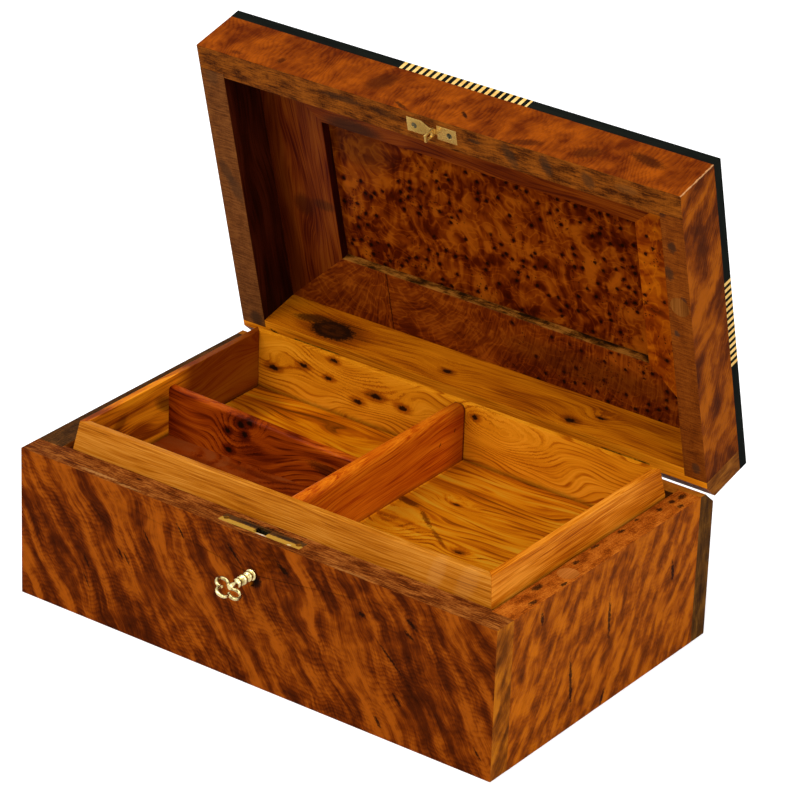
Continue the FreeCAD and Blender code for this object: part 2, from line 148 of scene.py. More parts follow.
class Graph:
    """The node tree of one material or world, built through expressions."""

    def __init__(self, owner: Union[bpy.types.Material, bpy.types.World]) -> None:
        """Starts an empty tree.

        Args:
            owner: The material or world that gets the tree.
        """
        owner.use_nodes = True
        self.owner = owner
        self.tree = owner.node_tree
        self.tree.nodes.clear()

    def node(self, kind: str, settings: Optional[Mapping[str, Any]] = None,
             inputs: Optional[Mapping[Union[str, int], Any]] = None, out: Union[str, int] = 0) -> Field:
        """Adds any node.

        Args:
            kind: The node's type.
            settings: Properties of the node, set first; stops is a ramp's list of place and colour.
            inputs: Values or fields of its sockets, by name or number.
            out: The output that is returned.

        Returns:
            The chosen output as a field.
        """
        made = self.tree.nodes.new(kind)
        for name, value in (settings or {}).items():
            if name == "stops":
                self._set_stops(made.color_ramp, value)
            else:
                setattr(made, name, value)
        for name, value in (inputs or {}).items():
            if isinstance(value, Field):
                self.tree.links.new(value.socket, made.inputs[name])
            else:
                made.inputs[name].default_value = value
        return Field(self, made.outputs[out])

    @staticmethod
    def _set_stops(ramp: bpy.types.ColorRamp, stops: Sequence[tuple[float, Colour]]) -> None:
        """Gives a colour ramp its stops.

        Args:
            ramp: The ramp, with no more stops than it gets.
            stops: Places and colours in rising order.
        """
        while len(ramp.elements) < len(stops):
            ramp.elements.new(MEAN)
        for element, (place, colour) in zip(ramp.elements, stops):
            element.position = place
            element.color = colour

    def math(self, operation: str, first: Term, second: Term = 0.0) -> Field:
        """A Math node on one or two values."""
        return self.node("ShaderNodeMath", {"operation": operation}, {0: first, 1: second})

    def smooth(self, value: Term, low: float, high: float) -> Field:
        """A soft step from 0 at low to 1 at high."""
        settings = {"interpolation_type": "SMOOTHSTEP"}
        return self.node("ShaderNodeMapRange", settings, {"Value": value, "From Min": low, "From Max": high})

    def growth_line(self, phase: Field, start: float, peak: float) -> Field:
        """A line in every unit of a value, which grows from its start to its peak and ends with the unit."""
        ring = self.math("FRACT", phase)
        return self.smooth(ring, start, peak) * (1 - self.smooth(ring, peak, 1.0))

    def vector(self, operation: str, first: Any, second: Any) -> Field:
        """A Vector Math node on two vectors."""
        return self.node("ShaderNodeVectorMath", {"operation": operation}, {0: first, 1: second})

    def split(self, vector: Field) -> tuple[Field, Field, Field]:
        """The three values of a vector."""
        first = self.node("ShaderNodeSeparateXYZ", None, {0: vector})
        return first, first.output("Y"), first.output("Z")

    def noise(self, at: Field, kind: Noise) -> Field:
        """Smooth noise from 0 to 1 at a place that is counted in its steps."""
        inputs = {"Vector": at, "Scale": 1.0, "Detail": kind.detail, "Roughness": kind.roughness}
        return self.node("ShaderNodeTexNoise", None, inputs)

    def blotches(self, at: Field, kind: Noise) -> Field:
        """Noise at a place in millimetres."""
        return self.noise(self.scaled(at, kind.steps), kind)

    def stretched(self, parts: Sequence[Field], kind: Noise) -> Field:
        """Noise at a place that is given by its three parts."""
        x, y, z = (part / step for part, step in zip(parts, kind.steps))
        return self.noise(self.node("ShaderNodeCombineXYZ", None, {0: x, 1: y, 2: z}), kind)

    def warp(self, at: Field, shift: Warp) -> Field:
        """Moves a place about by noise.

        Args:
            at: The place in millimetres.
            shift: How it moves.

        Returns:
            The shifted place.
        """
        cloud = self.blotches(at, Noise((shift.size,) * 3, shift.detail)).output("Color")
        centred = self.vector("SUBTRACT", cloud, (MEAN,) * 3)
        return self.vector("ADD", at, self.vector("MULTIPLY", centred, (2 * shift.reach,) * 3))

    def scaled(self, at: Field, steps: Triple) -> Field:
        """A place counted in steps of the given lengths."""
        return self.vector("MULTIPLY", at, tuple(1 / step for step in steps))

    def turned(self, at: Field, lean: float) -> tuple[Field, Field, Field]:
        """A place as seen along a leaning direction.

        Args:
            at: The place.
            lean: Angle of the direction on the face, in degrees.

        Returns:
            The place's parts along and across the direction, and its depth.
        """
        u, v, w = self.split(at)
        cos, sin = math.cos(math.radians(lean)), math.sin(math.radians(lean))
        return u * cos + v * sin, v * cos - u * sin, w

    def cells(self, at: Field) -> Field:
        """Distance to the nearest scattered point of a face; its cell's own colour is the output Color."""
        return self.node("ShaderNodeTexVoronoi", {"voronoi_dimensions": "2D"}, {"Vector": at, "Scale": 1.0})

    def ramp(self, value: Term, stops: Sequence[tuple[float, Colour]]) -> Field:
        """A colour from a value."""
        return self.node("ShaderNodeValToRGB", {"stops": stops}, {0: value})

    def mix(self, share: Term, first: Any, second: Any, blend: Blend = Blend.COVER) -> Field:
        """Two colours mixed."""
        settings = {"data_type": "RGBA", "blend_type": blend.value}
        return self.node("ShaderNodeMix", settings, {0: share, 6: first, 7: second}, 2)

    def bump(self, height: Term, depth: float) -> Field:
        """A normal from a height between 0 and 1 that stands for a depth in metres."""
        inputs = {"Height": height, "Distance": depth, "Strength": 1.0}
        return self.node("ShaderNodeBump", None, inputs, "Normal")

    def close(self, shader: Field) -> None:
        """Joins a shader to the tree's output.

        Args:
            shader: The finished shader.
        """
        of_world = isinstance(self.owner, bpy.types.World)
        end = self.tree.nodes.new("ShaderNodeOutputWorld" if of_world else "ShaderNodeOutputMaterial")
        self.tree.links.new(shader.socket, end.inputs["Surface"])


class Side(Enum):
    """The way a face of the closed box looks."""

    LEFT = (-1, 0, 0)
    RIGHT = (1, 0, 0)
    FRONT = (0, -1, 0)
    BACK = (0, 1, 0)
    TOP = (0, 0, 1)
    UNDER = (0, 0, -1)


@dataclass(frozen=True)
class Hinge:
    """The lid's turn between the closed box and the rest pose."""

    pivot: Vector
    angle: float

    @classmethod
    def from_frame(cls) -> "Hinge":
        """Reads the lid's joint from the frame."""
        joint = next(joint for joint in frame["joints"] if joint["name"] == "lid_hinge")
        return cls(Vector(joint["pos_m"]), math.radians(-joint["range_deg"][0]))

    def closing(self) -> Matrix:
        """Matrix that takes a point of the open lid to its place on the closed box."""
        turn = Matrix.Rotation(self.angle, 4, "X")
        return Matrix.Translation(self.pivot) @ turn @ Matrix.Translation(-self.pivot)


HINGE = Hinge.from_frame()


@dataclass(frozen=True)
class Grain:
    """How the wood of a face lies on the closed box, counted in millimetres.

    The pattern's first axis runs along the grain, the second across it on the face, the third into the wood.
    The shift moves the noise only, so that marks keep their true places.
    """

    along: Triple
    across: Triple
    on_lid: bool = False
    shift: Triple = (0.0, 0.0, 0.0)

    def place(self, graph: Graph) -> Field:
        """Pattern coordinates of the shaded point.

        Args:
            graph: The graph that gets the nodes.

        Returns:
            The place along the grain, across it and into the wood.
        """
        along = Vector(self.along).normalized()
        across = Vector(self.across).normalized()
        whole = Matrix((along, across, along.cross(across))).to_4x4() @ Matrix.Scale(PER_METRE, 4)
        if self.on_lid:
            whole = whole @ HINGE.closing()
        place, rotation, _ = whole.decompose()
        here = graph.node("ShaderNodeTexCoord", out="Object")
        return graph.node("ShaderNodeMapping", {"vector_type": "POINT"}, {
            "Vector": here, "Location": place, "Rotation": rotation.to_euler(), "Scale": (PER_METRE,) * 3})


@dataclass(frozen=True)
class Palette:
    """Colours of a wood: where its figure is dark, middling and light."""

    PLACES: ClassVar[tuple[float, ...]] = (0.08, 0.33, 0.5, 0.67, 0.92)
    DEEP_SHARE: ClassVar[float] = 0.35
    GLEAM_SHARE: ClassVar[float] = 1.25

    low: Triple
    middle: Triple
    high: Triple

    def stops(self) -> list[tuple[float, Colour]]:
        """Ramp stops over a value whose mean is a half.

        Returns:
            Places and colours from the deepest tone to the lightest.
        """
        low, high = srgb(*self.low), srgb(*self.high)
        tones = (shade(low, self.DEEP_SHARE), low, srgb(*self.middle), high, shade(high, self.GLEAM_SHARE))
        return list(zip(self.PLACES, tones))


class Surface(NamedTuple):
    """How a finish shines: its roughness, how far the figure changes that, its coat and specular level."""

    roughness: float
    spread: float
    coat: float
    specular: float


class Gloss(Enum):
    """Surfaces of the woods."""

    LACQUER = Surface(0.22, 0.06, 0.01, 0.006)
    SATIN = Surface(0.44, 0.12, 0.01, 0.03)
    DULL = Surface(0.75, 0.12, 0.0, 0.03)


COAT_ROUGHNESS = 0.05
# Near-black of slits, chips and specks, also used as painted shadow in the gap at the cross divider's back end.
BLACK_MARK_AND_SHADOW: Triple = (15, 7, 3)
WORN: Triple = (214, 160, 104)


class Axis(Enum):
    """Axes of a face's pattern."""

    ALONG = 0
    ACROSS = 1
    DEEP = 2


@dataclass(frozen=True)
class Band:
    """A stripe along an edge of a face, used for stains, wear and painted shade.

    It grows from start to full along one pattern axis, both in millimetres.
    """

    blend: ClassVar[Blend] = Blend.COVER

    axis: Axis
    start: float
    full: float
    colour: Triple = BLACK_MARK_AND_SHADOW
    share: float = 0.8

    def mask(self, graph: Graph, parts: Sequence[Field]) -> Field:
        """Share of the stain at a place."""
        step = graph.smooth(parts[self.axis.value], min(self.start, self.full), max(self.start, self.full))
        return (step if self.full > self.start else 1 - step) * self.share


@dataclass(frozen=True)
class Spot:
    """A ragged blotch, slit or chip; also used for painted glints and painted shadows.

    Its middle, half length and half width are in millimetres, its lean is in degrees.
    """

    blend: ClassVar[Blend] = Blend.COVER
    EDGE: ClassVar[tuple[float, float]] = (0.1, 1.2)
    FRAY: ClassVar[float] = 5.0
    MOST_FRAY: ClassVar[float] = 3.0

    u: float
    v: float
    length: float
    width: float
    lean: float = 0.0
    colour: Triple = BLACK_MARK_AND_SHADOW
    share: float = 0.88

    def mask(self, graph: Graph, parts: Sequence[Field]) -> Field:
        """Share of the blotch at a place.

        Args:
            graph: The graph so far.
            parts: True place along and across the grain and into the wood, and a fine noise for the edge.

        Returns:
            The share, from 0 to the blotch's own.
        """
        cos, sin = math.cos(math.radians(self.lean)), math.sin(math.radians(self.lean))
        du, dv = parts[0] - self.u, parts[1] - self.v
        along = (du * cos + dv * sin) / self.length
        across = (dv * cos - du * sin) / self.width
        fray = (parts[3] - MEAN) * min(self.MOST_FRAY, self.FRAY / self.width)
        reach = along * along + across * across + fray
        return (1 - graph.smooth(reach, *self.EDGE)) * self.share


@dataclass(frozen=True)
class Patch:
    """A field that is tinted darker through between two places along and two across the grain, in millimetres;
    used for a dark seam and for painted shade.
    """

    blend: ClassVar[Blend] = Blend.STAIN

    low: tuple[float, float]
    high: tuple[float, float]
    colour: Triple
    share: float
    soft: float = 2.0

    def mask(self, graph: Graph, parts: Sequence[Field]) -> Field:
        """Share of the stain at a place.

        Args:
            graph: The graph so far.
            parts: True place along and across the grain.

        Returns:
            The share, from 0 to the patch's own.
        """
        whole: Term = self.share
        for part, start, end in zip(parts, self.low, self.high):
            rise = graph.smooth(part, start, start + self.soft)
            whole = rise * (1 - graph.smooth(part, end - self.soft, end)) * whole
        return whole


Mark = Union[Band, Spot, Patch]


def marked(graph: Graph, colour: Field, marks: Sequence[Mark], parts: Sequence[Field]) -> Field:
    """Lays marks over a colour.

    Args:
        graph: The graph so far.
        colour: The colour below.
        marks: The marks, the lowest first.
        parts: True place along and across the grain and into the wood, a little ragged, and a fine noise.

    Returns:
        The marked colour.
    """
    for mark in marks:
        colour = graph.mix(mark.mask(graph, parts), colour, srgb(*mark.colour), mark.blend)
    return colour


class Figure(NamedTuple):
    """What a wood's figure hands on: its value for the ramp, its relief, its covers of mask and colour."""

    value: Field
    relief: Field
    covers: Sequence[tuple[Field, Triple]] = ()


@dataclass(frozen=True)
class Wood:
    """What every wooden finish has: its lie, its colours, its gloss and its marks."""

    MARK_RAGS: ClassVar[Warp] = Warp(1.7, 0.7, 3.0)
    MARK_FRAY: ClassVar[Noise] = Noise((1.1, 1.1, 1.1), 3.0, 0.7)

    name: str
    grain: Grain
    palette: Palette
    gloss: Gloss
    marks: tuple[Mark, ...] = ()
    depth: float = 0.06 * MM

    def figure(self, graph: Graph, at: Field, parts: Sequence[Field]) -> Figure:
        """The wood's figure.

        Args:
            graph: The graph so far.
            at: Pattern place with the grain's shift.
            parts: True place along and across the grain and into the wood, a little ragged, and a fine noise.

        Returns:
            The figure.
        """
        raise NotImplementedError

    def material(self) -> bpy.types.Material:
        """Makes the finish.

        Returns:
            The finished material.
        """
        graph = Graph(bpy.data.materials.new(self.name))
        here = self.grain.place(graph)
        parts = [*graph.split(graph.warp(here, self.MARK_RAGS)), graph.blotches(here, self.MARK_FRAY)]
        figure = self.figure(graph, graph.vector("ADD", here, self.grain.shift), parts)
        colour = graph.ramp(figure.value, self.palette.stops())
        for mask, tint in figure.covers:
            colour = graph.mix(mask, colour, srgb(*tint))
        surface = self.gloss.value
        graph.close(graph.node("ShaderNodeBsdfPrincipled", None, {
            "Base Color": marked(graph, colour, self.marks, parts),
            "Roughness": surface.roughness + surface.spread * (MEAN - figure.relief),
            "Specular IOR Level": surface.specular,
            "Coat Weight": surface.coat,
            "Coat Roughness": COAT_ROUGHNESS,
            "Normal": graph.bump(figure.relief, self.depth),
        }))
        return graph.owner


@dataclass(frozen=True)
class Knot:
    """A knot in a face: its place along and across the grain and its radius, in millimetres.

    One that isn't dark lies below the face and only bends the growth lines.
    Bounds of its parts are counted in its own radii.
    """

    CORE: ClassVar[Triple] = (20, 8, 3)
    CORE_SHARE: ClassVar[float] = 0.95
    HALO_SHARE: ClassVar[float] = 0.24
    FRAY: ClassVar[float] = 0.9
    BENT_LINES: ClassVar[float] = 7.0
    HALO: ClassVar[tuple[float, float]] = (0.8, 2.4)
    HEART: ClassVar[tuple[float, float]] = (0.55, 1.05)
    LARGE: ClassVar[float] = 4.0
    LARGE_HEART: ClassVar[tuple[float, float]] = (0.9, 1.25)
    PALE_RING: ClassVar[tuple[float, ...]] = (0.1, 0.35, 0.5, 0.75)
    PALE_SHARE: ClassVar[float] = 0.14

    u: float
    v: float
    radius: float
    stretch: float = 2.2
    swell: float = 1.6
    dark: bool = True

    def heart(self, graph: Graph, reach: Field) -> Field:
        """Mask of the dark heart, which has a paler ring in a large knot.

        Args:
            graph: The graph so far.
            reach: Distance from the knot's middle, in its radii.

        Returns:
            The mask.
        """
        if self.radius <= self.LARGE:
            return 1 - graph.smooth(reach, *self.HEART)
        pale = graph.smooth(reach, *self.PALE_RING[:2]) * (1 - graph.smooth(reach, *self.PALE_RING[2:]))
        return (1 - graph.smooth(reach, *self.LARGE_HEART)) * (1 - pale * self.PALE_SHARE)


@dataclass(frozen=True)
class PlainGrain(Wood):
    """Straight-grained wood with thin growth lines that bend round its knots, and fibres along them."""

    WANDER: ClassVar[Noise] = Noise((28, 5, 5))
    WANDER_SHARE: ClassVar[float] = 0.4
    STRAY_SHARE: ClassVar[float] = 5.0
    LINE: ClassVar[tuple[float, float]] = (0.5, 0.9)
    FADE: ClassVar[Noise] = Noise((24, 8, 8), 1.0)
    FADE_EDGE: ClassVar[tuple[float, float]] = (0.34, 0.62)
    FIBRE: ClassVar[Noise] = Noise((30, 0.6, 0.6), 2.0, 0.65)
    CLOUD: ClassVar[Noise] = Noise((55, 8, 8))

    spacing: float = 3.4
    lines: float = 0.16
    stray: float = 5.0
    drift: tuple[float, float] = (95.0, 24.0)
    fibres: float = 0.5
    clouds: float = 0.7
    tilt: float = 0.0
    knots: tuple[Knot, ...] = ()

    def knot_fields(self, graph: Graph, parts: Sequence[Field]) -> tuple[Term, Term, Term]:
        """What the knots do to the face.

        Args:
            graph: The graph so far.
            parts: True place along and across the grain and into the wood, and a fine noise.

        Returns:
            How the knots swell the growth lines, and the masks of their halos and of their cores.
        """
        swell: Term = 0.0
        halo: Term = 0.0
        core: Term = 0.0
        for knot in self.knots:
            du = (parts[0] - knot.u) / (knot.radius * knot.stretch)
            dv = (parts[1] - knot.v) / knot.radius
            reach = graph.math("SQRT", du * du + dv * dv) + (parts[3] - MEAN) * Knot.FRAY
            swell = (1 - graph.smooth(reach, 0.0, Knot.BENT_LINES)) * knot.swell + swell
            if knot.dark:
                halo = graph.math("MAXIMUM", 1 - graph.smooth(reach, *Knot.HALO), halo)
                core = graph.math("MAXIMUM", knot.heart(graph, reach), core)
        return swell, halo, core

    def figure(self, graph: Graph, at: Field, parts: Sequence[Field]) -> Figure:
        """Growth lines, fibres, clouds and knots.

        Args:
            graph: The graph so far.
            at: Pattern place with the grain's shift.
            parts: True place, a little ragged, and a fine noise.

        Returns:
            The figure.
        """
        place = graph.turned(at, self.tilt)
        along, across, deep = place
        swell, halo, core = self.knot_fields(graph, parts)
        length, width = self.drift
        slow = graph.stretched(place, Noise((length, width, width), 1.0))
        wander = graph.stretched(place, self.WANDER)
        drifted = (across + (slow - MEAN) * (self.STRAY_SHARE * self.stray)
                   + (wander - MEAN) * (self.WANDER_SHARE * self.spacing))
        phase = drifted / self.spacing + swell
        line = graph.growth_line(phase, *self.LINE)
        fade = graph.smooth(graph.stretched(place, self.FADE), *self.FADE_EDGE)
        fibre = graph.stretched((along, phase * self.spacing, deep), self.FIBRE)
        cloud = graph.stretched((along, drifted, deep), self.CLOUD)
        value = (MEAN + (cloud - MEAN) * self.clouds + (fibre - MEAN) * self.fibres
                 - line * (fade * self.lines))
        if not self.knots:
            return Figure(value, fibre)
        return Figure(value - halo * Knot.HALO_SHARE, fibre, [(core * Knot.CORE_SHARE, Knot.CORE)])


@dataclass(frozen=True)
class FlameBurl(Wood):
    """Burl with leaning flames, streaks along them, growth rings that ripple over them and soft mottling."""

    BEND_SIZE: ClassVar[float] = 48.0
    WRINKLES: ClassVar[Warp] = Warp(9.0, 1.6, 2.0)
    FLAME_DEPTH: ClassVar[float] = 40.0
    FLAME_SHARE: ClassVar[float] = 0.6
    FLAME_EDGE: ClassVar[tuple[float, float]] = (0.36, 0.64)
    FLAME_EDGE_SHARE: ClassVar[float] = 0.09
    STREAK_LENGTH_SHARE: ClassVar[float] = 0.45
    STREAK_WIDTH_SHARE: ClassVar[float] = 0.26
    STREAK_DEPTH: ClassVar[float] = 20.0
    HAIR: ClassVar[Noise] = Noise((8, 0.5, 4), 2.0, 0.6)
    SLOW: ClassVar[Noise] = Noise((34, 30, 40), 2.0, 0.4)
    SLOW_REACH: ClassVar[float] = 14.0
    LINE: ClassVar[tuple[float, float]] = (0.2, 0.8)
    LINE_MEAN: ClassVar[float] = 0.42
    RING_FIELDS: ClassVar[Noise] = Noise((22, 18, 30), 1.0)
    RING_FIELD_EDGE: ClassVar[tuple[float, float]] = (0.32, 0.6)
    MOTTLE: ClassVar[Noise] = Noise((8, 8, 8), 3.0, 0.55)
    MOTTLE_WARP: ClassVar[Warp] = Warp(9.0, 2.5)

    lean: float = -58.0
    width: float = 8.0
    length: float = 52.0
    bend: float = 10.0
    broad: float = 1.15
    streaks: float = 0.55
    hair: float = 0.28
    rings: float = 0.08
    ring_lean: float = 90.0
    ring_spacing: float = 2.4
    ripple: float = 9.0
    mottle: float = 0.55

    def figure(self, graph: Graph, at: Field, parts: Sequence[Field]) -> Figure:
        """Flames, streaks, rippled rings and mottling.

        Args:
            graph: The graph so far.
            at: Pattern place with the grain's shift.
            parts: True place, a little ragged, and a fine noise; not used here.

        Returns:
            The figure.
        """
        bent = graph.warp(graph.warp(at, Warp(self.BEND_SIZE, self.bend)), self.WRINKLES)
        place = graph.turned(bent, self.lean)
        broad = graph.stretched(place, Noise((self.length, self.width, self.FLAME_DEPTH), 1.0, 0.45))
        streak_length = self.STREAK_LENGTH_SHARE * self.length
        streak_width = self.STREAK_WIDTH_SHARE * self.width
        streak = graph.stretched(place, Noise((streak_length, streak_width, self.STREAK_DEPTH), 3.0, 0.6))
        hair = graph.stretched(place, self.HAIR)
        slow = graph.blotches(at, self.SLOW)
        rise = graph.turned(at, self.ring_lean)[0] + (broad - MEAN) * self.ripple + slow * self.SLOW_REACH
        line = graph.growth_line(rise / self.ring_spacing, *self.LINE)
        where = graph.smooth(graph.blotches(at, self.RING_FIELDS), *self.RING_FIELD_EDGE)
        patch = graph.blotches(graph.warp(at, self.MOTTLE_WARP), self.MOTTLE)
        edge = graph.smooth(broad, *self.FLAME_EDGE)
        flame = (broad - MEAN) * self.FLAME_SHARE + (edge - MEAN) * self.FLAME_EDGE_SHARE
        value = (MEAN + flame * self.broad + (streak - MEAN) * self.streaks + (hair - MEAN) * self.hair
                 + (self.LINE_MEAN - line) * (where * self.rings) + (patch - MEAN) * self.mottle)
        return Figure(value, hair)


@dataclass(frozen=True)
class EyeBurl(Wood):
    """Burl with crowds of small dark eyes on a cloudy, flowing ground."""

    CORE: ClassVar[Triple] = (22, 8, 3)
    CORE_SHARE: ClassVar[float] = 0.94
    DOT_SHARE: ClassVar[float] = 0.8
    FLOW: ClassVar[Noise] = Noise((4.5, 13.0, 14.0))
    FLOW_WARP: ClassVar[Warp] = Warp(26.0, 13.0)
    # Steps of the fan and the arch are an angle in radians, a reach and a depth.
    FAN: ClassVar[Noise] = Noise((0.025, 26.0, 1.0), 3.0, 0.6)
    ARCH: ClassVar[Noise] = Noise((0.5, 1.4, 1.0), 3.0, 0.6)
    FAN_WARP: ClassVar[Warp] = Warp(12.0, 1.6)
    SEAM_HALF: ClassVar[float] = 0.4
    CLOUD: ClassVar[Noise] = Noise((15, 11, 20))
    CLOUD_WARP: ClassVar[Warp] = Warp(20.0, 7.0)
    SLOW: ClassVar[Noise] = Noise((46, 38, 50), 1.0)
    SLOW_SHARE: ClassVar[float] = 0.5
    WISP: ClassVar[Noise] = Noise((9.0, 6.0, 12.0), 1.0)
    WISP_WARP: ClassVar[Warp] = Warp(18.0, 9.0)
    WISP_WIDTH: ClassVar[float] = 0.06
    WISP_MEAN: ClassVar[float] = 0.3
    WISP_SHARE: ClassVar[float] = 0.13
    EYE_RAGS: ClassVar[Warp] = Warp(1.7, 0.6, 2.0)
    EYE_CROWDING: ClassVar[float] = 1.5
    EYE_SOFT: ClassVar[float] = 0.06
    CELL_DEPTH: ClassVar[float] = 400.0
    CROWD: ClassVar[Noise] = Noise((24, 20, 40), 1.0)
    CORE_REACH: ClassVar[tuple[float, float]] = (0.6, 1.15)
    HALO_REACH: ClassVar[tuple[float, float]] = (0.9, 2.5)
    HALO_SHARE: ClassVar[float] = 0.18
    FLECK_REACH: ClassVar[tuple[float, float]] = (0.3, 1.5)
    FLECK_SHIFT: ClassVar[Triple] = (0.2, 0.18, 0.0)
    FLECK_SHARE: ClassVar[float] = 0.12
    DOT_PITCH: ClassVar[float] = 2.1
    DOT_CROWDING: ClassVar[float] = 2.0
    DOT_EDGE: ClassVar[tuple[float, float]] = (0.1, 0.3)
    DOT_CHANCE: ClassVar[tuple[float, float]] = (0.94, 0.98)

    pitch: float = 6.4
    radius: float = 1.25
    crowd: float = 0.42
    clouds: float = 0.8
    flow: float = 0.85
    calm: tuple[Spot, ...] = ()
    fan: Optional[tuple[float, float]] = None
    seam: float = 0.0

    def ground(self, graph: Graph, at: Field, parts: Sequence[Field]) -> Field:
        """The flowing ground, or lines that fan out to the left of a seam and arch to its right.

        Args:
            graph: The graph so far.
            at: Pattern place with the grain's shift.
            parts: True place, a little ragged.

        Returns:
            The ground's value.
        """
        if self.fan is None:
            return graph.blotches(graph.warp(at, self.FLOW_WARP), self.FLOW)
        u, v, w = graph.split(graph.warp(at, self.FAN_WARP))
        du, dv = u - (self.fan[0] + self.grain.shift[0]), v - (self.fan[1] + self.grain.shift[1])
        polar = (graph.math("ARCTAN2", dv, du), graph.math("SQRT", du * du + dv * dv), w)
        right = graph.smooth(parts[0], self.seam - self.SEAM_HALF, self.seam + self.SEAM_HALF)
        return graph.stretched(polar, self.FAN) * (1 - right) + graph.stretched(polar, self.ARCH) * right

    def figure(self, graph: Graph, at: Field, parts: Sequence[Field]) -> Figure:
        """Ground, clouds and eyes with a pale fleck beside each.

        Args:
            graph: The graph so far.
            at: Pattern place with the grain's shift.
            parts: True place, a little ragged, and a fine noise.

        Returns:
            The figure.
        """
        cloud = graph.blotches(graph.warp(at, self.CLOUD_WARP), self.CLOUD)
        slow = graph.blotches(at, self.SLOW)
        flow = self.ground(graph, at, parts)
        stray = graph.blotches(graph.warp(at, self.WISP_WARP), self.WISP)
        wisp = 1 - graph.smooth(graph.math("ABSOLUTE", stray - MEAN), 0.0, self.WISP_WIDTH)
        ragged = graph.warp(at, self.EYE_RAGS)
        crowd = graph.blotches(at, self.CROWD) - MEAN
        calm: Term = 0.0
        for spot in self.calm:
            calm = spot.mask(graph, parts) + calm
        eye_at = graph.scaled(ragged, (self.pitch, self.pitch, self.CELL_DEPTH))
        eye = graph.cells(eye_at)
        beside = graph.cells(graph.vector("ADD", eye_at, self.FLECK_SHIFT))
        chance = graph.split(eye.output("Color"))[0] + crowd * self.EYE_CROWDING - calm
        alive = graph.smooth(chance, 1 - self.crowd, 1 - self.crowd + self.EYE_SOFT)

        def within(distance: Field, bounds: tuple[float, float]) -> Field:
            """Mask of what lies within bounds in eye radii, where an eye is alive."""
            low, high = (bound * self.radius / self.pitch for bound in bounds)
            return (1 - graph.smooth(distance, low, high)) * alive

        core, halo = within(eye, self.CORE_REACH), within(eye, self.HALO_REACH)
        fleck = within(beside, self.FLECK_REACH)
        dot = graph.cells(graph.scaled(ragged, (self.DOT_PITCH, self.DOT_PITCH, self.CELL_DEPTH)))
        dot_chance = graph.split(dot.output("Color"))[1] + crowd * self.DOT_CROWDING - calm
        dots = (1 - graph.smooth(dot, *self.DOT_EDGE)) * graph.smooth(dot_chance, *self.DOT_CHANCE)
        value = (MEAN + (cloud - MEAN) * self.clouds + (flow - MEAN) * self.flow
                 + (slow - MEAN) * self.SLOW_SHARE - halo * self.HALO_SHARE + fleck * self.FLECK_SHARE
                 + (wisp - self.WISP_MEAN) * self.WISP_SHARE)
        return Figure(value, flow, [(dots * self.DOT_SHARE, self.CORE), (core * self.CORE_SHARE, self.CORE)])


@dataclass(frozen=True)
class SawnRim(Wood):
    """Dull sawn edge of a board: fibres along it, saw lines across it, smudges and grit."""

    BEND: ClassVar[Warp] = Warp(16.0, 1.3, 2.0)
    FIBRE: ClassVar[Noise] = Noise((9, 0.7, 0.7), 3.0, 0.65)
    SAW: ClassVar[Noise] = Noise((0.5, 8.0, 8.0), 2.0, 0.6)
    SMUDGE: ClassVar[Noise] = Noise((13, 6, 6), 3.0, 0.55)
    GRIT: ClassVar[Noise] = Noise((1.1, 0.6, 0.6))
    RELIEF_SHARE: ClassVar[float] = 0.5

    streaks: float = 0.6
    cross: float = 0.35
    smudges: float = 0.5
    grit: float = 0.3

    def figure(self, graph: Graph, at: Field, parts: Sequence[Field]) -> Figure:
        """Fibres, saw lines, smudges and grit.

        Args:
            graph: The graph so far.
            at: Pattern place with the grain's shift.
            parts: True place, a little ragged, and a fine noise; not used here.

        Returns:
            The figure.
        """
        bent = graph.warp(at, self.BEND)
        fibre = graph.blotches(bent, self.FIBRE)
        saw = graph.blotches(bent, self.SAW)
        smudge = graph.blotches(bent, self.SMUDGE)
        grit = graph.blotches(at, self.GRIT)
        value = (MEAN + (fibre - MEAN) * self.streaks + (saw - MEAN) * self.cross
                 + (smudge - MEAN) * self.smudges + (grit - MEAN) * self.grit)
        return Figure(value, fibre * self.RELIEF_SHARE + grit * self.RELIEF_SHARE)


@dataclass(frozen=True)
class InkedWood(Wood):
    """Plain veneer strip whose grain hardly shows."""

    FIBRE: ClassVar[Noise] = Noise((12, 0.5, 0.5), 3.0, 0.6)
    FIBRE_SHARE: ClassVar[float] = 0.6
    CLOUD: ClassVar[Noise] = Noise((30, 6, 6))
    CLOUD_SHARE: ClassVar[float] = 0.5

    def figure(self, graph: Graph, at: Field, parts: Sequence[Field]) -> Figure:
        """Fine fibres and faint clouds.

        Args:
            graph: The graph so far.
            at: Pattern place with the grain's shift.
            parts: True place, a little ragged, and a fine noise; not used here.

        Returns:
            The figure.
        """
        fibre = graph.blotches(at, self.FIBRE)
        cloud = graph.blotches(at, self.CLOUD)
        return Figure(MEAN + (fibre - MEAN) * self.FIBRE_SHARE + (cloud - MEAN) * self.CLOUD_SHARE, fibre)


